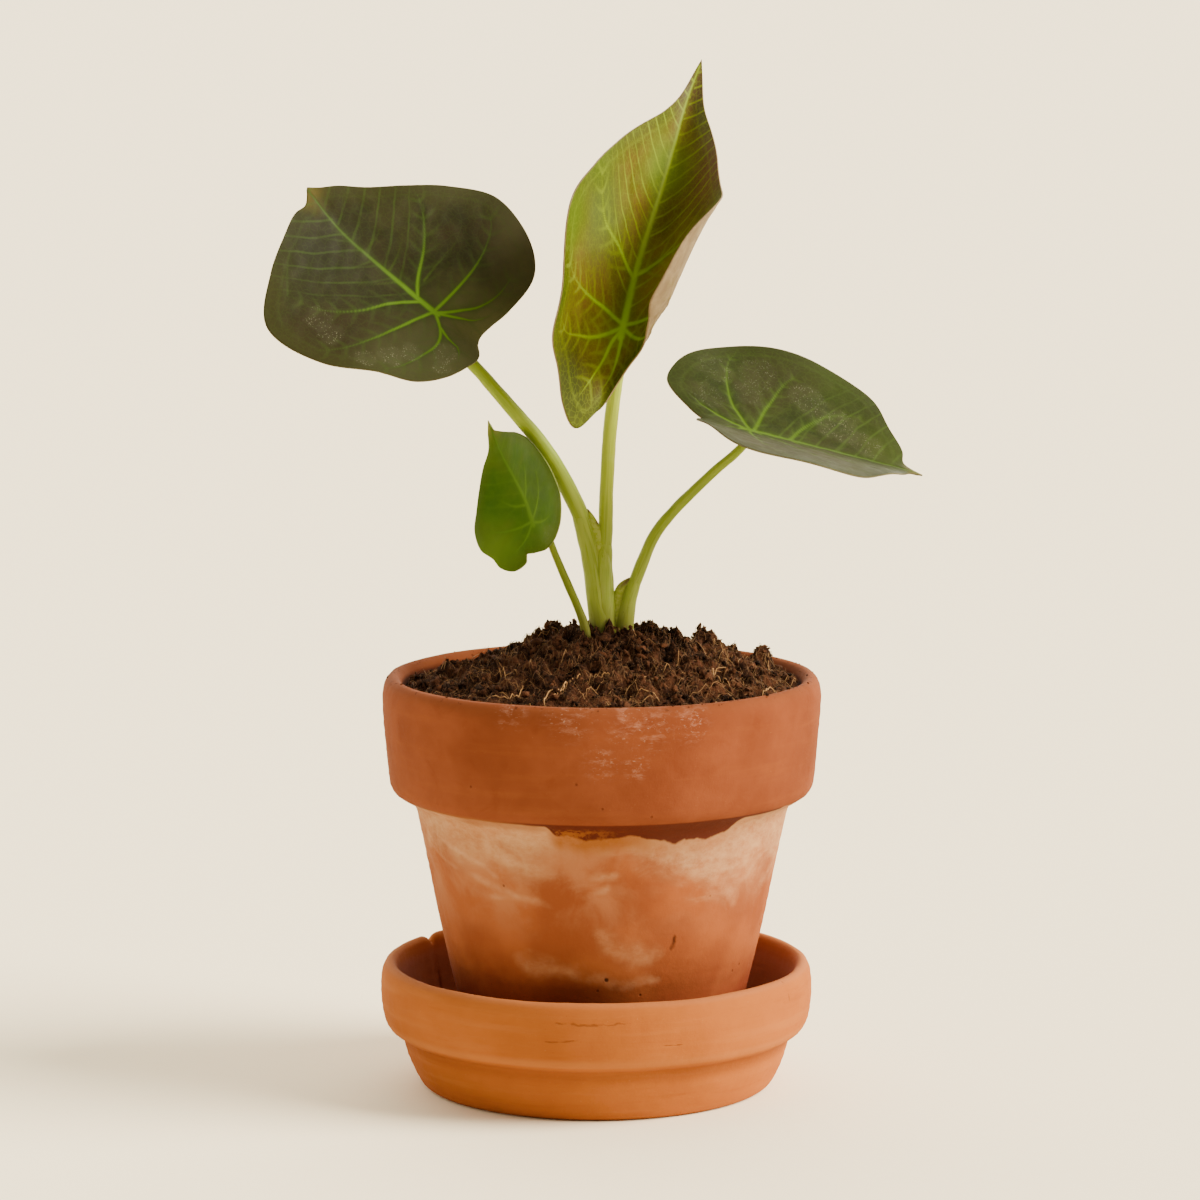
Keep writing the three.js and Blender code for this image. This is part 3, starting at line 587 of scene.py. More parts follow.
heaped = Finish("potting_mix")
heaped.colour = heaped.mix(heaped.ramp(heaped.cloud(heaped.place, 0.012, 3.0, 0.6), 0.38, 0.62),
                           (36, 22, 15), (90, 55, 37))
moisten(heaped, 0.0007, (128, 86, 58), (0.5, 0.72, 0.0, 0.7), (0.47, 0.3, 0.0, 0.9), 0.0009)
soil = piece_of("potting_mix_heap", soil_points, soil_faces, [heaped.material])
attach(soil, "root")
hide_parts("soil")


# Crumbs of the mix: small torn lumps that lie on the heap and along the rim, darker where wet.
CRUMB_RING = 5
CRUMB_ROWS = 3
CRUMBS = 4200
RIM_CRUMBS = 70


def copies(faces, number, points_each):
    """The faces of one small body again for each of a number of bodies, whose points follow on."""
    shift = (np.arange(number) * points_each)[:, None, None]
    return [(face[None] + shift).reshape(-1, face.shape[1]) for face in faces]


def crumbs(places, sizes, seed):
    """Torn lumps of 17 points each, all at once: rings of points on a ball, each point pushed out or
    in by chance, then the ball is squeezed and turned. Gives points and faces."""
    chance = np.random.default_rng(seed)
    number = len(places)
    rise = np.repeat(np.pi * (np.arange(CRUMB_ROWS) + 1) / (CRUMB_ROWS + 1), CRUMB_RING)
    turn = np.tile(2 * np.pi * np.arange(CRUMB_RING) / CRUMB_RING, CRUMB_ROWS)
    ball = np.stack([np.sin(rise) * np.cos(turn), np.sin(rise) * np.sin(turn), np.cos(rise)], axis=1)
    ball = np.vstack([ball, [[0, 0, 1], [0, 0, -1]]])
    shape = ball[None] * chance.uniform(0.4, 1.35, (number, len(ball), 1))
    shape = shape * chance.uniform(0.4, 1.5, (number, 1, 3)) * sizes[:, None, None]
    spin, _ = np.linalg.qr(chance.normal(size=(number, 3, 3)))
    spin = spin * np.sign(np.linalg.det(spin))[:, None, None]
    shape = np.einsum("nij,npj->npi", spin, shape) + places[:, None]
    first = outward(ball, *closed_tube(CRUMB_ROWS, CRUMB_RING))
    return shape.reshape(-1, 3), copies(first, number, len(ball))


chance = np.random.default_rng(31)
reach = 48.0 * np.sqrt(chance.uniform(0.01, 1.0, CRUMBS))
turn = chance.uniform(0, 2 * np.pi, CRUMBS)
size = np.clip(chance.lognormal(-0.80, 0.46, CRUMBS), 0.18, 1.7)
x, y = reach * np.cos(turn), reach * np.sin(turn)
places = np.stack([x, y, loose_height(x, y) + 0.25 * size], axis=1)
rim_turn = chance.uniform(0, 2 * np.pi, RIM_CRUMBS)
rim_reach = chance.uniform(49.6, 52.6, RIM_CRUMBS)
rim_size = chance.uniform(0.15, 0.42, RIM_CRUMBS)
rim_height = 101.75 - 0.33 * (rim_reach - 51.2) ** 2
rim_places = np.stack([rim_reach * np.cos(rim_turn), rim_reach * np.sin(rim_turn), rim_height], axis=1)
places = np.vstack([places, rim_places]) + POT_CENTRE
size = np.concatenate([size, rim_size])
tone = np.repeat(chance.uniform(0, 1, len(size)) ** 1.7, CRUMB_RING * CRUMB_ROWS + 2)
crumb_points, crumb_faces = crumbs(places, size, 32)

torn = Finish("crumb_of_mix")
torn.colour = torn.mix(torn.painted("tone"), (30, 19, 13), (104, 65, 44))
moisten(torn, 0.0006, (134, 92, 64), (0.5, 0.75, 0.0, 0.7), (0.46, 0.28, 0.0, 0.85), 0.0006)
crumb = piece_of("crumbs_of_mix", crumb_points, crumb_faces, [torn.material], tone=tone)
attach(crumb, "root")


# Coir fibres: husk hairs of the mix, straw-coloured to dark brown, that lie tangled on the heap and
# stand out of it here and there. A few long pale ones lie where the hand left them.
LONG_ONES = [  # x, y, heading, length, bend, lift, radius
    (-28.5, -35.0, 0.45, 14.0, 0.9, 0.9, 0.14), (-13.0, -44.5, 1.35, 17.0, -0.9, 1.1, 0.15),
    (-12.5, -41.0, 0.85, 13.0, 0.3, 0.8, 0.14), (32.2, -24.5, 1.9, 16.0, -2.4, 1.6, 0.14),
    (37.5, -26.0, 0.9, 11.0, -0.5, 0.7, 0.13), (5.0, -45.0, 2.7, 4.0, 0.2, 0.4, 0.20),
    (-3.0, -28.0, 0.15, 8.0, 0.2, 0.8, 0.14),
]


def fibres(starts, headings, lengths, bends, lifts, radii, steps, sides):
    """Thin round hairs, all at once. A hair's heading turns evenly along it; it follows the heap's
    height and is lifted off it by lift times 4 t (1 - t), or up to its end where lift is negative.
    Gives points and faces."""
    t = np.linspace(0, 1, steps)[None, :]
    heading = headings[:, None] + bends[:, None] * (t - 0.3) + 0.5 * np.sin(
        2 * np.pi * (t + headings[:, None])) * np.minimum(np.abs(bends), 1)[:, None]
    step = lengths[:, None] / (steps - 1)
    x = starts[:, 0][:, None] + np.cumsum(np.cos(heading) * step, axis=1)
    y = starts[:, 1][:, None] + np.cumsum(np.sin(heading) * step, axis=1)
    held = np.minimum(1.0, (SOIL_REACH - 0.6) / np.maximum(np.hypot(x, y), 1e-6))
    x, y = x * held, y * held
    lift = np.where(lifts[:, None] > 0, lifts[:, None] * 4 * t * (1 - t), -lifts[:, None] * t**1.5)
    path = np.stack([x, y, loose_height(x, y) + 0.1 + lift], axis=-1)
    along = np.gradient(path, axis=1)
    along = along / np.maximum(np.linalg.norm(along, axis=-1, keepdims=True), 1e-9)
    side = np.cross(along, np.array([0.13, -0.21, 0.97]))
    side = side / np.maximum(np.linalg.norm(side, axis=-1, keepdims=True), 1e-9)
    other = np.cross(along, side)
    turn = 2 * np.pi * np.arange(sides) / sides
    thin = (radii[:, None] * (1 - 0.75 * np.abs(2 * t - 1) ** 6))[..., None, None]
    ring = side[:, :, None] * np.cos(turn)[:, None] + other[:, :, None] * np.sin(turn)[:, None]
    points = path[:, :, None] + thin * ring
    hair = steps * sides
    ends = np.stack([np.arange(sides)[::-1], hair - sides + np.arange(sides)])
    return points.reshape(-1, 3), copies((quads(steps, sides), ends), len(starts), hair)


def fibre_batch(number, seed, length, bend, lift, radius):
    """Seeded starts and shapes for a batch of hairs; each range is (least, most)."""
    chance = np.random.default_rng(seed)
    reach = 46.0 * np.sqrt(chance.uniform(0.02, 1.0, number))
    turn = chance.uniform(0, 2 * np.pi, number)
    starts = np.stack([reach * np.cos(turn), reach * np.sin(turn)], axis=1)
    values = [chance.uniform(*span, number) for span in (length, bend, lift, radius)]
    return starts, chance.uniform(0, 2 * np.pi, number), *values


long_x, long_y, *long_values = np.array(LONG_ONES).T
dark = fibre_batch(60, 44, (1.6, 4.6), (-1.4, 1.4), (-2.4, -0.8), (0.05, 0.10))
dark_starts = np.random.default_rng(45).uniform((-22.0, -6.0), (-3.0, 12.0), (60, 2))
BATCHES = (
    (fibre_batch(5000, 41, (1.5, 6.5), (-1.2, 1.2), (-1.3, 0.9), (0.03, 0.06)), 5, 3, (0.0, 0.5)),
    (fibre_batch(70, 42, (7.0, 18.0), (-1.3, 1.3), (-1.4, 1.4), (0.035, 0.06)), 12, 5, (0.2, 0.9)),
    (fibre_batch(140, 43, (3.0, 9.0), (-0.3, 0.3), (0.2, 1.0), (0.05, 0.11)), 6, 5, (0.45, 1.0)),
    ((np.stack([long_x, long_y], axis=1), *long_values), 22, 5, (0.85, 1.0)),
    ((dark_starts, *dark[1:]), 7, 5, (0.0, 0.1)),
)
fibre_points, fibre_faces, tones = [], [], []
start = 0
for shapes, steps, sides, pale in BATCHES:
    points, (walls, ends) = fibres(*shapes, steps, sides)
    fibre_points.append(points)
    fibre_faces.append((walls + start, ends + start))
    hairs = len(ends) // 2
    tone = np.random.default_rng(start).uniform(*pale, hairs)
    tones.append(np.repeat(tone, len(points) // hairs))
    start += len(points)
walls, ends = zip(*fibre_faces)

husk = Finish("coir_fibre")
husk.colour = husk.mix(husk.painted("tone"), (66, 40, 25), (200, 152, 100))
husk.coat((96, 54, 32), husk.ramp(husk.cloud(husk.place, 0.0012, 3.0), 0.5, 0.7, 0.0, 0.5))
husk.dress(0.16, 0.7, husk.cloud(husk.place, 0.0004), 0.0001)
fibre = piece_of("coir_fibres", np.vstack(fibre_points) + POT_CENTRE,
                 [np.vstack(walls), ends[0], np.vstack(ends[1:])], [husk.material],
                 tone=np.concatenate(tones))
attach(fibre, "root")


# The stem: three fleshy leaf sheaths with a wrap between them, pale at the foot and yellow-green
# above. They grow from a swollen foot in the mix. Two thin flaps with dry edges join them low down.
SHEATHS = {
    "left": [(1.4, 0, 100, 3.3), (1.4, 0, 108, 3.3), (1.2, 0, 115, 3.1), (0.4, 0, 120.1, 2.8),
             (-0.7, 0, 127.5, 2.5), (-2.3, -0.3, 135.3, 2.28), (-3.6, -0.7, 139.8, 2.1),
             (-4.4, -0.9, 142.3, 1.75)],
    "centre": [(2.0, 0.3, 100, 3.2), (1.9, 0.2, 108, 3.1), (1.9, 0.2, 115, 3.0), (2.1, 0.2, 121, 2.5),
               (2.1, 0.2, 128, 1.95), (2.1, 0.2, 133.0, 1.76), (2.1, 0.25, 136, 1.5)],
    "right": [(6.4, 0.2, 100, 2.4), (6.6, 0.2, 108, 2.3), (7.1, 0.2, 115, 2.2), (8.0, 0.1, 120.4, 1.9),
              (9.3, 0, 124.3, 1.62), (10.0, 0, 126.2, 1.35)],
}
FLAPS = [
    [(-2.4, -0.6, 142.7, 0.35), (-1.6, -0.7, 141.0, 0.9), (-0.6, -0.7, 138.3, 1.45),
     (0.2, -0.6, 134.0, 1.85), (0.8, -0.3, 128.0, 2.0), (1.2, 0.0, 120.0, 2.0)],
    [(8.3, -0.3, 125.6, 0.35), (7.2, -0.4, 124.6, 0.8), (5.9, -0.3, 122.9, 1.2), (5.0, 0.0, 117.0, 1.6),
     (4.6, 0.0, 108.0, 1.7)],
]
SWOLLEN_FOOT = [(3.6, 0, 90.2, 3.6), (3.6, 0, 95, 5.8), (3.6, 0, 101, 6.4), (3.6, 0, 108, 6.0),
                (3.6, 0, 111.6, 5.2), (3.6, 0, 113.4, 3.4)]
WRAP = [(1.7, -0.8, 134.5, 0.5), (1.7, -0.9, 130.0, 1.7), (1.8, -0.9, 122.0, 2.2),
        (2.0, -0.8, 108.0, 2.4)]
SHEATH_GREENS = (150, 170, 60), (162, 178, 74)


def stalk(rows, spacing, sides, seed, ribs=0.0, flat=1.0):
    """A round stalk along a smooth line of rows (x, y, z, radius), closed at both ends. Each ring
    stands square to the line, and its first direction is carried on from the ring before it. ribs is
    the depth of the fine lengthwise ribs, and flat squeezes it from front to back. Gives points,
    faces and the stalk's own straightened coordinates."""
    line = smooth_line(rows, spacing)
    path, radius = line[:, :3], line[:, 3]
    along = np.gradient(path, axis=0)
    along = along / np.linalg.norm(along, axis=1, keepdims=True)
    side = np.zeros_like(path)
    side[0] = np.cross([0.0, 1.0, 0.0], along[0])
    for k in range(1, len(path)):
        side[k] = side[k - 1] - along[k] * (side[k - 1] @ along[k])
    side = side / np.linalg.norm(side, axis=1, keepdims=True)
    other = np.cross(along, side)
    turn = np.linspace(0, 2 * np.pi, sides, endpoint=False)
    length = travelled(path)
    straight = np.stack(np.broadcast_arrays(
        radius[:, None] * np.cos(turn), radius[:, None] * np.sin(turn), length[:, None]), axis=-1)
    wide = radius[:, None] * (1 + 0.02 * ripples(straight, 6.0, seed))
    wide = wide - ribs * (0.5 + 0.5 * ripples(straight / [1, 1, 30], 0.6, seed + 1)).clip(0, 1.5)
    points = path[:, None] + side[:, None] * (wide * np.cos(turn))[..., None]
    points = points + other[:, None] * (flat * wide * np.sin(turn))[..., None]
    points = np.vstack([points.reshape(-1, 3), path[:1], path[-1:]])
    straight = np.vstack([straight.reshape(-1, 3), [[0, 0, 0]], [[0, 0, length[-1]]]])
    return points, outward(points, *closed_tube(len(path), sides)), straight


def gathered(parts):
    """Several closed bodies as one: their points, faces and straightened coordinates."""
    points, straight, squares, ends = [], [], [], []
    start = 0
    for body_points, (square, end), body_straight in parts:
        points.append(body_points)
        straight.append(body_straight + [0, 0, 31.0 * len(points)])
        squares.append(square + start)
        ends.append(end + start)
        start += len(body_points)
    return np.vstack(points), [np.vstack(squares), np.vstack(ends)], np.vstack(straight)


def flesh(name, pale_from, green, shade, light, joint=None):
    """A fleshy stalk's finish: streaks along it, paler towards the foot, with small brown specks, and
    darker below 122 mm. It goes over into the sheaths' own greens towards the height joint. Heights
    are in millimetres."""
    skin = Finish(name)
    own = skin.painted("straight", "Vector")
    high = skin.axis(skin.place, 2)
    streak = skin.cloud(skin.scaled(own, 1.0, 1.0, 0.045), 0.8, 3.0, 0.6)
    skin.colour = skin.mix(skin.ramp(streak, 0.35, 0.65), green, shade)
    skin.coat(light, skin.ramp(skin.cloud(own, 7.0, 3.0), 0.5, 0.75, 0.0, 0.35))
    if joint is not None:
        sheath = skin.mix(skin.ramp(streak, 0.35, 0.65), *SHEATH_GREENS)
        skin.coat(sheath, skin.ramp(high, MM * (joint + 16), MM * joint))
    skin.coat((172, 176, 96), skin.ramp(high, MM * (pale_from + 12), MM * pale_from),
              skin.ramp(streak, 0.3, 0.6, 0.35, 0.85))
    vessels = skin.cloud(skin.scaled(own, 1.0, 1.0, 0.03), 0.5, 2.0, 0.5)
    skin.coat((112, 132, 36), skin.ramp(vessels, 0.54, 0.70, 0.0, 0.5))
    skin.coat((86, 74, 28), skin.ramp(skin.cells(own, 1.9, "F1"), 0.13, 0.07),
              skin.ramp(skin.cloud(own, 5.0, 1.0), 0.5, 0.58), 0.75)
    skin.coat((104, 100, 40), skin.ramp(high, 0.1220, 0.1135, 0.0, 0.6))
    feed(skin.tree, skin.shader, {"Subsurface Weight": 0.1, "Subsurface Radius": (0.6, 1.0, 0.3),
                                  "Subsurface Scale": 0.001})
    return skin.dress(0.14, skin.ramp(streak, 0.3, 0.7, 0.5, 0.6), streak, 0.00006, 0.4)


stem_skin = flesh("sheath_skin", 104, *SHEATH_GREENS, (176, 188, 92))
membrane = Finish("dry_flap")
speckle = membrane.cloud(membrane.place, 0.0008, 3.0, 0.6)
membrane.colour = membrane.mix(membrane.ramp(speckle, 0.35, 0.65), (164, 176, 78), (146, 164, 48))
tips = membrane.work(
    "MAXIMUM", membrane.spots(membrane.place, (((-2.2, -1.0, 142.8), 1.5, 0.7),
                                                 ((0.5, -1.4, 139.6), 1.1, 0.7))),
    membrane.line(membrane.place, (8.3, -0.6, 125.7), (5.6, -1.4, 123.4), 1.0))
membrane.coat((92, 66, 38), tips, 0.9)
membrane.dress(0.2, 0.6, speckle, 0.0001)

parts = [stalk(rows, 0.6, 44, 50 + k, ribs=0.02) for k, rows in enumerate(SHEATHS.values())]
parts += [stalk(SWOLLEN_FOOT, 1.0, 40, 55, flat=0.72), stalk(WRAP, 0.8, 32, 56, flat=0.8)]
flap_parts = [stalk(rows, 0.6, 16, 58 + k, flat=0.45) for k, rows in enumerate(FLAPS)]
stem_points, stem_faces, straight = gathered(parts + flap_parts)
counts = [sum(len(faces[kind]) for _, faces, _ in group)
          for kind in (0, 1) for group in (parts, flap_parts)]
which = np.repeat([0, 1, 0, 1], counts).astype(np.int32)
stem = piece_of("sheathed_stem", stem_points, stem_faces, [stem_skin, membrane.material], which,
                straight=straight)
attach(stem, "root")
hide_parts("stem")


# The leaf blades: thin leathery shields, each grown in one piece, that meet their stalks inside the
# margin. A pale midrib and side veins run in shallow valleys on top and stand out underneath. Each is
# drawn flat, in millimetres across and along from the point where its stalk meets it.
LEAVES = {
    "left": dict(
        cells=180, middle=12, junction=(-39.0, -12.0, 191.7), turn=(161, 33.7, 33.7), arch=-0.0096,
        lobe_arch=0.0, twist=0.0026, fold=(0.07, 0.22), curl=(-0.004, 0.001), uncurl=0.0,
        gather=(0.0, 0.0), wave=(0.5, 7, 0.6),
        left=[(0.5, 43.4), (-3, 40.5), (-7, 40.5), (-14, 38), (-23.5, 33.5), (-34.9, 24.4), (-33, 9),
              (-25.5, -2), (-21, -10), (-14.5, -14.5), (-8, -16), (-3, -16), (0, -13.5)],
        right=[(0.5, 43.4), (3, 41.5), (7, 39), (12.5, 34), (20, 28), (28.5, 20), (35, 9.5),
              (32.5, -3), (25, -11.5), (13, -13), (6.5, -12.5), (2.5, -12.5), (0, -13.5)],
        midrib=[(0, -1), (0.4, 10), (0.1, 20), (-0.6, 30), (0, 43)],
        veins=[
            [(0.4, 5.5), (4.5, 8.8), (11.4, 12.9), (16.4, 17.3), (20.2, 22.8), (21, 26)],
            [(0.3, 0.2), (9.4, 0.1), (16.8, 0.6), (23, 2.2), (28.6, 5.3), (31, 9)],
            [(0.3, -0.6), (4.8, -4.3), (8.7, -7.0), (14.5, -8.4), (22, -7.5)],
            [(0.3, -0.8), (2.6, -4.8), (5.0, -8.6), (9.0, -10.6)],
            [(-0.2, 4.5), (-6.4, 8.9), (-13.9, 12.4), (-20, 17.3), (-23.3, 22.3), (-24.6, 27)],
            [(-0.2, 0.2), (-4, 1.3), (-9.9, 2.8), (-19, 5.4), (-26.7, 8.7), (-32, 13)],
            [(-0.2, -0.6), (-3.8, -4.7), (-7.9, -6.7), (-14.3, -6.2), (-21, -4.3), (-25, -1.5)],
            [(-3.0, -4.2), (-4.4, -7.5), (-5.1, -11), (-8.8, -13.6)]],
        minor=[
            [(-24.6, 27), (-19.6, 31.6), (-13, 36.3), (-7, 39)], [(-1, 20), (-7.8, 22.5), (-13, 28.2)],
            [(-1, 27), (-5.6, 31.1), (-11, 34.9)], [(0.4, 22.5), (7.8, 24.4), (12.8, 31.1)],
            [(0.4, 15), (4.9, 16.2), (10.5, 19.4), (14, 25)], [(-0.4, 12), (-10.1, 18.9), (-16, 25)],
            [(5.2, 7.4), (11.9, 8.1), (18.5, 8.5), (23.8, 11.2), (27, 16.2)]],
        hairs=9.0, swell=0.16),
    "centre": dict(
        cells=200, middle=20, junction=(6.7, -4.0, 187.8), turn=(58.5, 60.5, -29.6), arch=0.0028,
        lobe_arch=0.0, twist=-0.0019, fold=(0.91, 0.85), curl=(0.0133, 0.0273), uncurl=0.0125,
        gather=(0.0, 0.012), wave=(0.7, 9, 0.4),
        left=[(0, 77), (-2.8, 64), (-6.5, 57.3), (-13.6, 48.6), (-22, 38.5), (-33, 26),
              (-40.6, 12.5), (-34, -3), (-31, -14.5), (-20, -20), (-13.5, -26.5), (-5.5, -29.5),
              (0, -22)],
        right=[(0, 77), (4.5, 62.5), (9.5, 54), (16, 44.5), (23, 34), (32, 25), (39, 11), (34.5, -3),
               (25, -6), (15, -7.5), (8, -10), (3, -15.5), (0, -22)],
        midrib=[(0, -3), (-0.9, 13), (-0.8, 25), (-0.4, 38), (-0.5, 51), (-0.7, 62), (0, 75)],
        veins=[
            [(-0.9, 12.5), (-9.6, 16.9), (-18.6, 18.9), (-23.8, 22.8), (-28.3, 27.5), (-28.5, 31)],
            [(-0.6, 0.4), (-7.2, 1.2), (-14.4, 0.8), (-26.6, 0.7), (-34, 3)],
            [(-0.4, -0.6), (-4.8, -4.3), (-9.4, -7.2), (-15.1, -9.4), (-22.4, -11.7), (-28, -10)],
            [(-0.2, -1.2), (-2, -4.8), (-3.1, -10.2), (-5.2, -15.9), (-8.5, -23)],
            [(-0.9, 13.5), (5.4, 17.3), (12.6, 20), (20, 22), (27, 27)],
            [(0.2, 0.5), (8, 1.2), (16, 1), (26, 1.5), (34, 5)],
            [(0.2, -0.8), (5, -3.4), (11, -4.8), (18, -5), (25, -3.5)],
            [(0, -1.4), (0.6, -6.4), (0.4, -12.7), (-1.2, -18.0)]],
        minor=[
            [(-0.8, 26), (-9, 31), (-15, 36.5), (-18, 42)], [(-0.4, 37), (-6, 42), (-10.5, 47.5)],
            [(-0.5, 48), (-4, 52), (-6.5, 56)], [(-0.8, 25), (7, 29.5), (14, 33), (18, 38)],
            [(-0.4, 37), (5, 41), (10, 45)], [(-0.5, 48), (3.5, 52), (6.5, 56)],
            [(-9.4, -7.2), (-13, -13), (-14, -19)], [(-14.4, 0.8), (-21, 6), (-27, 11), (-33, 14)]],
        hairs=11.0, swell=0.22),
    "right": dict(
        cells=150, middle=14, junction=(37.3, -5.0, 162.4), turn=(15.2, -15, -17.6), arch=0.0003,
        lobe_arch=0.0038, twist=-0.0006, fold=(0.34, 0.33), curl=(0.0022, -0.0067), uncurl=0.0,
        gather=(0.0, 0.0), wave=(0.6, 8, 1.1),
        left=[(0, 46), (-3, 41.5), (-7.5, 41.5), (-14, 38.5), (-24, 34.5), (-31, 21.5), (-32.5, 8.5),
              (-30.5, -2.5), (-25.5, -12), (-18.5, -18.5), (-11, -21), (-3, -15.5), (0, -12.5)],
        right=[(0, 46), (1, 42.4), (4.4, 39.8), (12.6, 34.8), (20.6, 28.2), (27.6, 20.4), (32, 8.5),
              (31.5, -3), (27.5, -13), (17, -16), (9.5, -16.5), (3.5, -15), (0, -12.5)],
        midrib=[(0, -2), (0.2, 15), (0, 30), (0, 44.5)],
        veins=[
            [(-0.3, 0), (-5.2, -2.2), (-9, -4), (-15.7, -4.8), (-23.8, -3.9), (-29, -1)],
            [(-0.3, 1), (-3.9, 2.6), (-9.1, 4.7), (-12.7, 6.6), (-21, 11.1), (-27.4, 17.5)],
            [(-0.2, 10.5), (-6, 14.5), (-9.1, 17.5), (-12.6, 21.4), (-15.2, 28.1), (-15.4, 34)],
            [(-0.2, -1), (-2.3, -6.2), (-4.8, -11.3), (-8.4, -15.6)],
            [(0.3, 0), (6, -1.6), (14, -3), (22, -2.5), (28, 1)],
            [(0.3, 1), (9, 5), (17, 9), (25, 15)],
            [(0.3, 10.5), (7, 15), (13, 21), (16, 29)],
            [(0.2, -1), (3, -6), (6, -10), (10, -13.5)]],
        minor=[
            [(-0.2, 23), (-4.5, 26.5), (-8, 31), (-9, 36)], [(0.2, 23), (4.5, 26.5), (8, 31), (9, 36)],
            [(-4, -3), (-9, -9), (-13, -15)], [(-9.1, 4.7), (-18, 4), (-26, 6)]],
        hairs=5.0, swell=0.42),
    "small": dict(
        cells=104, middle=8, junction=(-15.3, -14.0, 141.3), turn=(118.8, 44.5, 69.9), arch=-0.0005,
        lobe_arch=0.0053, twist=0.0008, fold=(0.17, 0.35), curl=(-0.001, 0.0005), uncurl=0.0,
        gather=(0.0, 0.0), wave=(0.3, 6, 0.2),
        left=[(0, 32), (-1.5, 29.4), (-3.4, 25.2), (-6.8, 21.9), (-9.8, 18), (-13.2, 13.4),
              (-16, 9.3), (-16.4, 3.6), (-14, -1.4), (-13, -5), (-9.8, -8), (-6, -8), (-5.3, -6.3),
              (-3, -7.4), (0, -8.8)],
        right=[(0, 32), (0.3, 29), (2, 27), (4.8, 24.4), (8.4, 21.2), (12.4, 15.8), (14.6, 8),
              (14.9, 1.5), (14.4, -4), (11, -8), (6, -9.4), (2, -9.2), (0, -8.8)],
        midrib=[(0, -1), (0.8, 6.4), (0.4, 13.4), (-0.2, 21), (0, 30.5)],
        veins=[
            [(-0.2, 0.1), (-5.5, 1.6), (-10.3, 4.3), (-13.5, 8)], [(0.4, 5), (-2.9, 6.9), (-7.3, 13.3)],
            [(0.1, 0.3), (5.6, 2.6), (8.4, 5.2), (10.5, 9.5)], [(-0.2, -0.4), (-4, -3), (-10, -4)],
            [(0.2, -0.4), (4, -3), (9, -4.5)], [(0.5, 6), (4, 9.5), (7.5, 15)]],
        minor=[[(0.2, 13), (-3.5, 16), (-6, 20)], [(0.2, 13), (3.8, 16), (6.4, 20)],
               [(-0.2, -0.6), (-2.5, -5), (-5, -8.5)]],
        hairs=8.0, swell=0.12),
}


def rounded_square(cells):
    """A square grid rounded to a disc: x = a sqrt(1 - b b / 2), y = b sqrt(1 - a a / 2)."""
    b, a = np.meshgrid(np.linspace(-1, 1, cells + 1), np.linspace(-1, 1, cells + 1), indexing="ij")
    return a * np.sqrt(1 - b * b / 2), b * np.sqrt(1 - a * a / 2)


def blade_directions(leaf):
    """The blade's own directions at its stalk: along the midrib, to its right, and up, from its
    heading, pitch and roll in degrees."""
    heading, pitch, roll = np.radians(leaf["turn"])
    along = np.array([math.cos(pitch) * math.cos(heading), math.cos(pitch) * math.sin(heading),
                      math.sin(pitch)])
    level = np.array([math.sin(heading), -math.cos(heading), 0.0])
    across = math.cos(roll) * level + math.sin(roll) * np.cross(level, along)
    return along, across, np.cross(across, along)


def bent(length, turning):
    """Where a line of that length ends that starts straight and turns by turning(distance) as it
    goes: its length times the mean of the direction at twelve places."""
    stops = (np.arange(12) + 0.5) / 12
    angles = turning(length[..., None] * stops)
    return length * np.cos(angles).mean(axis=-1), length * np.sin(angles).mean(axis=-1)


def shaped(leaf, across, along):
    """The flat blade's point (across, along) in space. The half is bent up from the midrib and
    curled, turned with the midrib's twist, and carried to the arched midrib."""
    forward_way, right_way, up_way = blade_directions(leaf)
    right_half = across > 0
    fold = np.where(right_half, leaf["fold"][1], leaf["fold"][0])[..., None]
    curl = np.where(right_half, leaf["curl"][1], leaf["curl"][0])
    curl = (curl * (1 - leaf["uncurl"] * along))[..., None]
    behind = (np.hypot(along, 6.0) - along) / 2
    gather = 1 + np.where(right_half, leaf["gather"][1], leaf["gather"][0]) * behind

    def arching(distance):
        return np.where(distance > 0, leaf["arch"], -leaf["lobe_arch"]) * distance

    def folding(distance):
        return gather[..., None] * distance * (fold / np.hypot(distance, 2.0) + curl)

    forward, drop = bent(along, arching)
    outward_by, lift = bent(np.abs(across), folding)
    twist = leaf["twist"] * along
    signed = np.sign(across) * outward_by
    right = signed * np.cos(twist) - lift * np.sin(twist)
    rise = signed * np.sin(twist) + lift * np.cos(twist)
    tilt = arching(along)
    return (np.array(leaf["junction"]) + (forward + rise * np.sin(tilt))[..., None] * forward_way
            + (rise * np.cos(tilt) - drop)[..., None] * up_way + right[..., None] * right_way)


def nearest(across, along, line):
    """The distance of flat points from a line of short straight pieces, and how far along it, 0 to 1,
    the nearest place is."""
    best = np.full(across.shape, 1e9)
    place = np.zeros(across.shape)
    pieces = len(line) - 1
    for k in range(pieces):
        run = line[k + 1] - line[k]
        t = ((across - line[k, 0]) * run[0] + (along - line[k, 1]) * run[1]) / (run @ run)
        t = np.clip(t, 0, 1)
        away = np.hypot(across - line[k, 0] - t * run[0], along - line[k, 1] - t * run[1])
        closer = away < best
        best = np.where(closer, away, best)
        place = np.where(closer, (k + t) / pieces, place)
    return best, place


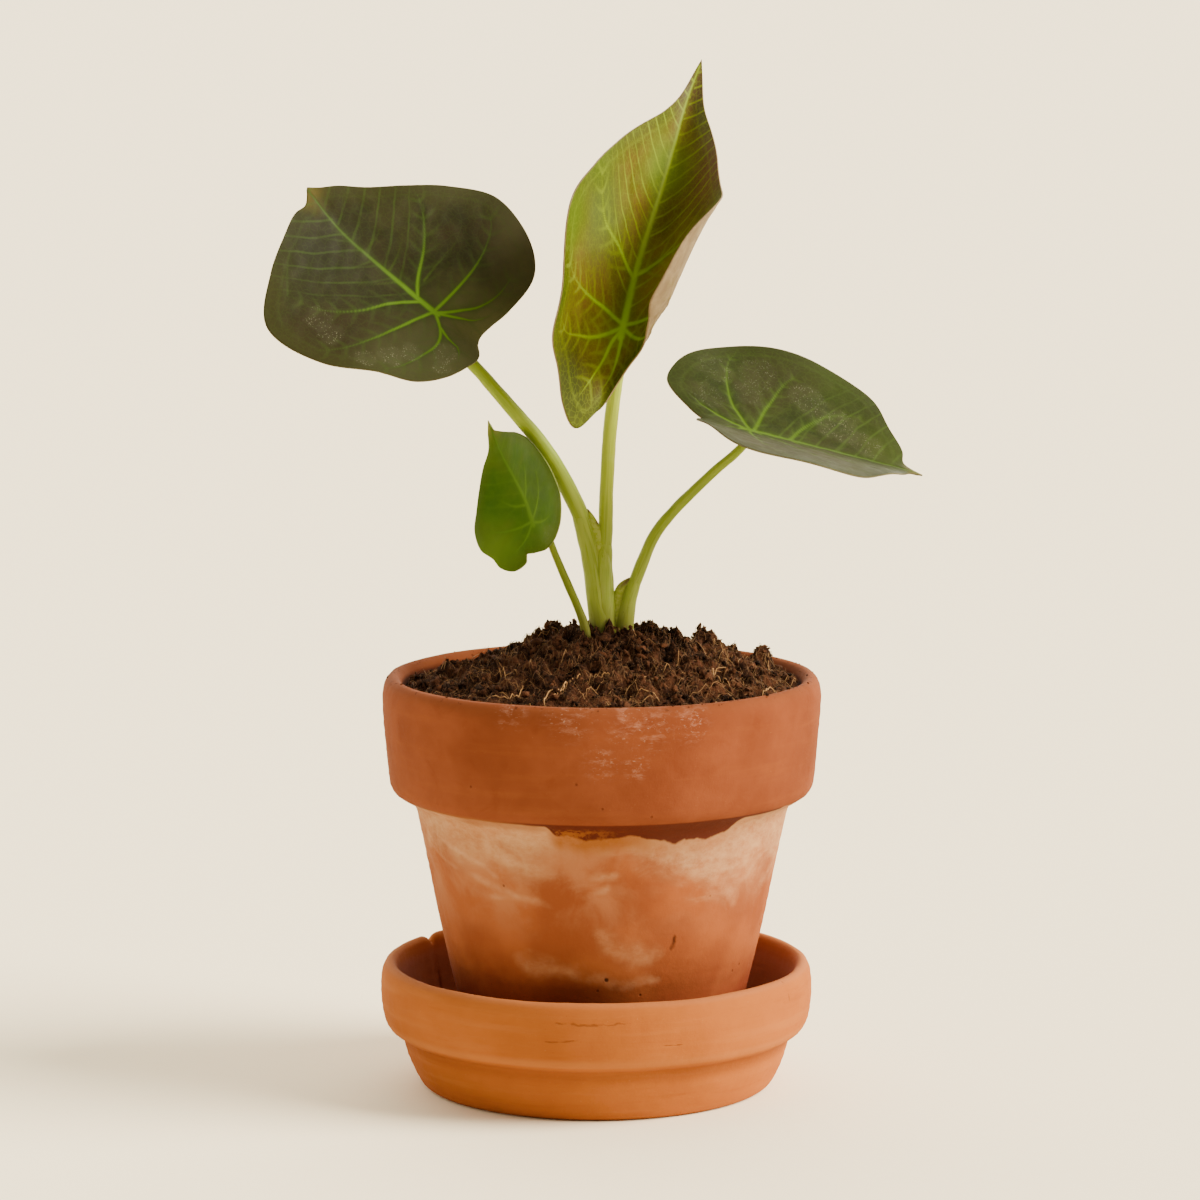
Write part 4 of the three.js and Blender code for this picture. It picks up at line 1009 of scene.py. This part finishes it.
def side_hairs(line, spacing, length, seed):
    """Fine veins that leave a vein on both sides at about 60 degrees and bend forwards evenly, shorter
    towards its end, as lines of six points."""
    chance = np.random.default_rng(seed)
    made = []
    far = travelled(line)
    for spot in np.arange(spacing * 0.7, far[-1] - spacing * 0.4, spacing):
        start, ahead = (np.array([np.interp(place, far, line[:, k]) for k in (0, 1)])
                        for place in (spot, spot + 1.0))
        heading = math.atan2(*(ahead - start)[::-1])
        for side in (-1, 1):
            reach = length * chance.uniform(0.8, 1.2) * (1 - 0.5 * spot / far[-1])
            first = heading + side * chance.uniform(1.0, 1.1)
            turning = np.linspace(first, first - side * chance.uniform(0.4, 0.55), 5)
            steps = 0.2 * reach * np.stack([np.cos(turning), np.sin(turning)], axis=1)
            made.append(start + np.vstack([[0, 0], np.cumsum(steps, axis=0)]))
    return made


def vein_marks(away, width, glow_widths, ridge_widths, shares):
    """A vein, its pale surround and its valley at a distance from its line: shares times e to the
    minus (away / width) squared, the surround without the square, each with its own width."""
    marks = (np.exp(-(away / width) ** 2), np.exp(-away / (glow_widths * width)),
             np.exp(-(away / (ridge_widths * width)) ** 2))
    return np.stack([share * mark for share, mark in zip(shares, marks)])


def blade(leaf, seed):
    """A whole blade as a thin closed body. Returns its points, faces, which faces are underneath,
    and what the points carry: the closeness to veins, to their pale surrounds and to the margin."""
    cells = leaf["cells"]
    x, y = rounded_square(cells)
    reach = np.hypot(x, y)
    angle = np.arctan2(x, y)
    place = np.abs(angle) / np.pi
    edge = np.where((angle >= 0)[..., None], curve_at(leaf["right"], place),
                    curve_at(leaf["left"], place))
    across = reach * edge[..., 0]
    along = leaf["middle"] + reach * (edge[..., 1] - leaf["middle"])

    midrib = smooth_line(leaf["midrib"], 2.0)
    away, far = nearest(across, along, midrib)
    size = 0.012 * len(midrib) + 0.5
    width = size * (1.25 - 1.0 * far)
    drawn = vein_marks(away, width, 2.6, 1.6, (1 - 0.35 * far, 1 - 0.3 * far, 1 - 0.5 * far))
    fine = np.zeros_like(across)
    hairs = []
    for k, points in enumerate(leaf["veins"]):
        line = smooth_line(points, 1.6)
        away, far = nearest(across, along, line)
        width = 0.62 * size * (1.1 - 0.75 * far)
        fade = 1 - 0.75 * np.clip(far * 1.15 - 0.25, 0, 1) ** 1.5
        drawn = np.maximum(drawn, vein_marks(away, width, 3.0, 1.5, (0.9, 0.8, 0.75)) * fade)
        hairs += side_hairs(line, 4.6, leaf["hairs"], seed + 1 + k)
    for points in leaf["minor"]:
        away, far = nearest(across, along, smooth_line(points, 1.6))
        marks = vein_marks(away, 0.55, 2.0 / 0.55, 0.9 / 0.55, (0.38, 0.35, 0.35))
        drawn = np.maximum(drawn, marks * (1 - 0.7 * far))
    for line in hairs:
        away, far = nearest(across, along, line)
        fine = np.maximum(fine, np.exp(-(away / 0.6) ** 2) * (1 - far**2))
    collecting = np.exp(-(((1 - reach) * 30 - 3.0) / 0.6) ** 2)
    fine = np.maximum(fine, 0.5 * collecting)
    vein, glow, ridge = drawn

    flat = np.stack([across, along, 0 * across], axis=-1)
    height, number, phase = leaf["wave"]
    rise = height * reach**4 * np.sin(number * angle + phase) * np.sin(angle) ** 2
    valley = leaf["swell"] * (1 - ridge - 0.35 * fine) * np.clip((1 - reach) * 8, 0, 1)
    uneven = ripples(flat[..., :2], 5.0, seed + 30)
    valley = valley + 0.05 * uneven * np.clip((1 - reach) * 6, 0, 1)
    rib = 0.36 * ridge + 0.06 * fine
    thin = 0.18 + 0.12 * np.clip((1 - reach) * 12, 0, 1)

    step = 0.05
    middle = shaped(leaf, across, along)
    up = np.cross(shaped(leaf, across + step, along) - shaped(leaf, across - step, along),
                  shaped(leaf, across, along + step) - shaped(leaf, across, along - step))
    up = up / np.linalg.norm(up, axis=-1, keepdims=True)
    centre = rise + 0.5 * (valley - leaf["swell"] * 0.5)
    top = middle + up * (centre + thin)[..., None]
    under = middle + up * (centre - thin - rib)[..., None]
    points = np.concatenate([top.reshape(-1, 3), under.reshape(-1, 3)])

    half = (cells + 1) ** 2
    upper = quads(cells + 1, cells + 1, False)
    ring = np.arange(cells)
    rim = np.concatenate([ring, ring * (cells + 1) + cells, half - 1 - ring,
                          (cells - ring) * (cells + 1)])
    after = np.roll(rim, -1)
    side = np.stack([after, rim, rim + half, after + half], axis=1)
    faces = outward(points, np.vstack([upper, upper[:, ::-1] + half, side]))
    below = np.repeat([0, 1, 1], [len(upper), len(upper), len(side)]).astype(np.int32)
    twice = {"vein": vein, "glow": glow, "fine": fine, "reach": reach}
    carried = {name: np.tile(values.ravel(), 2) for name, values in twice.items()}
    return points, faces, below, carried | {"flat": np.tile(flat.reshape(-1, 3), (2, 1))}


def net_of(skin, flat):
    """The net of veinlets, 1 on their lines."""
    return skin.ramp(skin.cells(skin.shaken(flat, 3.0, 0.8), 1.5), 0.09, 0.02)


def leaf_top(name, dark, light, blush, hub, veins, surround, margin, fine_amount, shine, spacing,
             tints=(), dusty=()):
    """The upper skin: mottled between two colours, with a warmer blush, pale veins that are brightest
    at the stalk and have a soft surround, a net of veinlets and a margin of its own colour. Fine side
    veins leave the midrib every spacing, on curves y = start + 0.5 |x| + 0.014 x x. tints are soft
    patches (x, y, reach, amount, colour), some of the blade's own colour and some painted light,
    shade and sheen; dusty ones (x, y, reach, amount) are of pale fine dots."""
    skin = Finish(name)
    flat = skin.painted("flat", "Vector")
    metres = skin.scaled(flat, MM, MM, MM)
    skin.colour = skin.mix(skin.ramp(skin.cloud(flat, 8.0, 5.0, 0.62, 0.6), 0.35, 0.65), dark, light)
    skin.coat(blush, skin.ramp(skin.cloud(flat, 16.0, 3.0, 0.5, 0.8), 0.45, 0.62), 0.8)
    skin.coat(margin, skin.ramp(skin.painted("reach"), 0.74, 0.985), 0.7)
    for x, y, reach, amount, tint in tints:
        skin.coat(tint, skin.spot(skin.shaken(metres, 0.012, 0.008), (x, y, 0), reach, 0.95), amount)
    skin.coat(surround, skin.ramp(skin.painted("glow"), 0.1, 0.9, 0.0, 0.85))
    net = net_of(skin, flat)
    skin.coat(veins, net, 0.25 * fine_amount)
    wavy = skin.shaken(flat, 12.0, 2.0)
    across, along = skin.axis(wavy, 0), skin.axis(wavy, 1)
    beside = skin.work("ABSOLUTE", across)
    leaving = skin.work("SUBTRACT", along, skin.times(
        beside, skin.work("ADD", 0.5, skin.times(beside, 0.014))))
    order = skin.work("ADD", skin.work("DIVIDE", leaving, spacing),
                      skin.times(skin.work("GREATER_THAN", across, 0.0), 0.4))
    off = skin.work("ABSOLUTE", skin.work("SUBTRACT", skin.work("FRACT", order), 0.5))
    lateral = skin.times(skin.ramp(off, 0.6 / spacing, 0.08 / spacing), skin.ramp(leaving, 1.5, 5.0),
                         skin.ramp(beside, 27.0, 9.0, 0.35, 1.0),
                         skin.ramp(skin.cloud(flat, 9.0, 3.0), 0.3, 0.6, 0.3, 1.0))
    fine = skin.ramp(skin.painted("fine"), 0.1, 1.0, 0.0, 0.6)
    skin.coat(veins, skin.work("MAXIMUM", fine, lateral), fine_amount)
    away = skin.vector("LENGTH", flat, (0, 0, 0), 1)
    skin.coat(skin.mix(skin.ramp(away, 26.0, 3.0), veins, hub),
              skin.ramp(skin.painted("vein"), 0.12, 0.9))
    grains = skin.times(skin.ramp(skin.cells(skin.shaken(flat, 1.0, 0.5), 0.42, "F1"), 0.34, 0.16),
                        skin.ramp(skin.cloud(flat, 1.8, 4.0, 0.7), 0.45, 0.6))
    for x, y, reach, amount in dusty:
        patch = skin.spot(skin.shaken(metres, 0.004, 0.004), (x, y, 0), reach, 0.8)
        patch = skin.ramp(patch, 0.2, 0.7)
        skin.coat((150, 152, 128), patch, grains, amount)
        skin.coat((110, 112, 92), patch, 0.12 * amount)
    relief = skin.work("SUBTRACT", skin.cloud(flat, 0.9, 3.0, 0.6), skin.times(net, 0.5))
    return skin.dress(shine, skin.ramp(skin.cloud(flat, 4.0, 3.0), 0.3, 0.7, 0.5, 0.6), relief,
                      0.00003, 0.4)


def leaf_under(name, pale, shade, ribs):
    """The lower skin: paler and matt, with ribs in their own colour and painted shade in the
    troughs of its wrinkles.
    """
    skin = Finish(name)
    flat = skin.painted("flat", "Vector")
    skin.colour = skin.mix(skin.ramp(skin.cloud(flat, 6.0, 5.0, 0.65, 0.5), 0.35, 0.68), pale, shade)
    skin.coat(ribs, net_of(skin, flat), 0.15)
    skin.coat(ribs, skin.ramp(skin.painted("fine"), 0.1, 1.0, 0.0, 0.35))
    skin.coat(ribs, skin.ramp(skin.painted("vein"), 0.1, 0.7))
    wrinkle = skin.cloud(skin.scaled(flat, 1.0, 0.35, 1.0), 1.6, 4.0, 0.6)
    # Painted shade: the shade colour laid into the wrinkles' troughs.
    skin.coat(shade, skin.ramp(wrinkle, 0.55, 0.3, 0.0, 0.35))
    return skin.dress(0.08, 0.65, wrinkle, 0.0002, 0.6)


TOPS = {
    "left": leaf_top(
        "dark_blade_top", dark=(41, 42, 21), light=(52, 52, 29), blush=(48, 42, 25),
        hub=(98, 140, 30), veins=(64, 88, 33), surround=(52, 66, 24), margin=(56, 57, 28),
        fine_amount=0.4, shine=0.055, spacing=5.2,
        tints=[(-8, 30, 20, 0.8, (32, 35, 18)), (0, 44, 8, 0.8, (98, 88, 34)),
               (2, -13, 24, 0.9, (98, 100, 62)), (-16, -4, 18, 0.6, (78, 82, 52)),
               # The two tints on the next line are painted light: they lighten the right edge, which
               # turns away from the lamp.
               (32, -3, 14, 0.85, (88, 86, 60)), (24, -10, 12, 0.6, (80, 80, 52))],
        dusty=[(-19.6, -1, 5, 0.8), (-24.8, 2.6, 4, 0.6), (-14.8, -3.6, 4, 0.7), (-25.2, 13, 5, 0.5),
               (-24, 17.8, 5, 0.4), (-9, -10, 5, 0.8), (-13, -12, 4, 0.7)]),
    "centre": leaf_top(
        "olive_blade_top", dark=(94, 88, 18), light=(112, 104, 32), blush=(108, 86, 28),
        hub=(146, 190, 12), veins=(138, 160, 34), surround=(104, 122, 8), margin=(68, 86, 8),
        fine_amount=0.7, shine=0.10, spacing=4.8,
        tints=[(19, 44, 24, 0.9, (108, 70, 50)), (-22, 19, 20, 0.9, (90, 106, 46)),
               (-1, 42, 14, 0.7, (104, 134, 36)),
               # The first tint on the next line is painted light: it brightens the shaded right half
               # beside the midrib, in place of light shining through the blade.
               (10, 12, 18, 0.55, (160, 142, 32)), (-4, -4, 14, 0.6, (122, 116, 14)),
               (-36, 12, 12, 0.85, (84, 108, 8)), (-31, 28, 13, 0.8, (82, 102, 14)),
               (-38, -6, 16, 0.95, (58, 72, 6)), (0, 70, 18, 0.85, (82, 60, 44)),
               (-12, -22, 18, 0.95, (54, 62, 2)), (34, -6, 12, 0.5, (150, 132, 100))]),
    "right": leaf_top(
        "dusty_blade_top", dark=(38, 47, 14), light=(52, 59, 25), blush=(48, 49, 23),
        hub=(80, 110, 24), veins=(76, 102, 36), surround=(56, 76, 20), margin=(46, 54, 20),
        fine_amount=0.4, shine=0.04, spacing=5.0,
        # The first two tints are painted sheen: a dull olive-grey on the near half, which the light
        # grazes.
        tints=[(14, 14, 22, 0.7, (62, 60, 38)), (22, -6, 14, 0.7, (62, 60, 38)),
               (0, 45, 5, 0.8, (150, 136, 90)), (-26, 24, 14, 0.4, (56, 70, 20)),
               (-6, 36, 12, 0.5, (66, 80, 26))],
        dusty=[(-10, 24, 9, 0.6), (-17, 17, 8, 0.55), (-6, 31, 7, 0.45), (-14, 1, 7, 0.4),
               (-22, 4, 8, 0.35), (-20, -8, 8, 0.35), (-10, -10, 7, 0.35)]),
    "small": leaf_top(
        "fresh_blade_top", dark=(56, 92, 2), light=(68, 102, 5), blush=(76, 100, 10),
        hub=(84, 120, 14), veins=(82, 118, 16), surround=(68, 102, 6), margin=(70, 90, 8),
        fine_amount=0.3, shine=0.055, spacing=3.6,
        tints=[(0, 31, 7, 0.8, (150, 142, 66)), (-4, 25, 8, 0.4, (100, 124, 14)),
               # The two tints on the next line are painted light and shade: the left half lighter and
               # the right half darker, as the fold turns them to and from the light.
               (-13, 0, 11, 0.7, (96, 126, 20)), (8, 6, 10, 0.4, (54, 74, 8))],
        dusty=[(4, -7, 4, 0.3)]),
}
UNDERS = {
    "left": leaf_under("dark_blade_under", (104, 98, 66), (88, 80, 54), (120, 124, 66)),
    "centre": leaf_under("olive_blade_under", (150, 130, 100), (122, 102, 76),
                         (138, 126, 76)),
    "right": leaf_under("dusty_blade_under", (104, 100, 70), (88, 82, 56), (120, 122, 72)),
    "small": leaf_under("fresh_blade_under", (112, 124, 62), (96, 110, 48), (132, 144, 78)),
}
for number, (side_name, leaf) in enumerate(LEAVES.items()):
    blade_points, blade_faces, below, carried = blade(leaf, 100 + 50 * number)
    piece = piece_of("blade_" + side_name, blade_points, blade_faces,
                     [TOPS[side_name], UNDERS[side_name]], below, **carried)
    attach(piece, "root")
    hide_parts("leaf_" + side_name)


# The leaf stalks: smooth fleshy stalks that go on from inside their sheaths, or from the mix for the
# small leaf, thin out upwards, and turn into the blade's underside, where they widen a little.
STALKS = {
    "left": [(-3.2, -0.6, 138.4, 1.8), (-4.1, -0.85, 141.7, 2.09), (-8.7, -2.1, 151.5, 2.0),
             (-13.2, -3.2, 158.8, 1.9), (-21.8, -5.0, 169.3, 1.7), (-30.2, -7.2, 179.2, 1.5)],
    "centre": [(2.1, 0.2, 130.8, 1.5), (2.15, 0.22, 134.4, 1.73), (2.6, 0.6, 149.8, 1.72),
               (3.3, 0.9, 161.5, 1.7), (4.7, 0.9, 173.0, 1.68), (5.9, 0.6, 180.6, 1.65)],
    "right": [(8.5, 0.05, 122.0, 1.4), (9.5, 0.0, 124.9, 1.59), (11.7, -0.2, 130.6, 1.52),
              (14.5, -0.6, 136.8, 1.43),
              (19.0, -1.2, 142.5, 1.34), (23.3, -1.9, 147.0, 1.26), (29.1, -2.8, 152.6, 1.18),
              (33.4, -3.5, 156.4, 1.12)],
    "small": [(-1.7, -5.5, 107.5, 1.15), (-2.9, -5.8, 114.7, 1.1), (-4.6, -6.4, 119.6, 1.05),
              (-6.6, -7.9, 124.5, 1.0), (-8.6, -9.3, 129.4, 0.94), (-10.4, -10.6, 134.0, 0.88),
              (-11.7, -11.4, 137.6, 0.84)],
}
STALK_SKINS = {
    "left": flesh("dark_blade_stalk", 100, (128, 152, 34), (144, 164, 52), (158, 176, 74), 142),
    # The centre stalk's greens are lighter than the others' as painted light, where the lamp falls on
    # its front.
    "centre": flesh("olive_blade_stalk", 100, (166, 186, 50), (178, 194, 68), (192, 204, 94), 135),
    "right": flesh("dusty_blade_stalk", 100, (132, 154, 42), (144, 162, 56), (158, 174, 74), 125),
    "small": flesh("fresh_blade_stalk", 100, (112, 128, 36), (126, 138, 46), (138, 148, 60)),
}
WIDENING = ((3.0, 0.97), (1.1, 1.1), (0.35, 1.35))
for number, (side_name, rows) in enumerate(STALKS.items()):
    _, _, up = blade_directions(LEAVES[side_name])
    meet = np.array(LEAVES[side_name]["junction"])
    ending = [(*(meet - up * below), rows[-1][3] * wider) for below, wider in WIDENING]
    stalk_points, stalk_faces, straight = stalk(rows + ending, 0.7, 32, 70 + 3 * number, ribs=0.015)
    piece = piece_of("stalk_" + side_name, stalk_points, stalk_faces, [STALK_SKINS[side_name]],
                     straight=straight)
    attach(piece, "root")
    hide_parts("petiole_" + side_name)
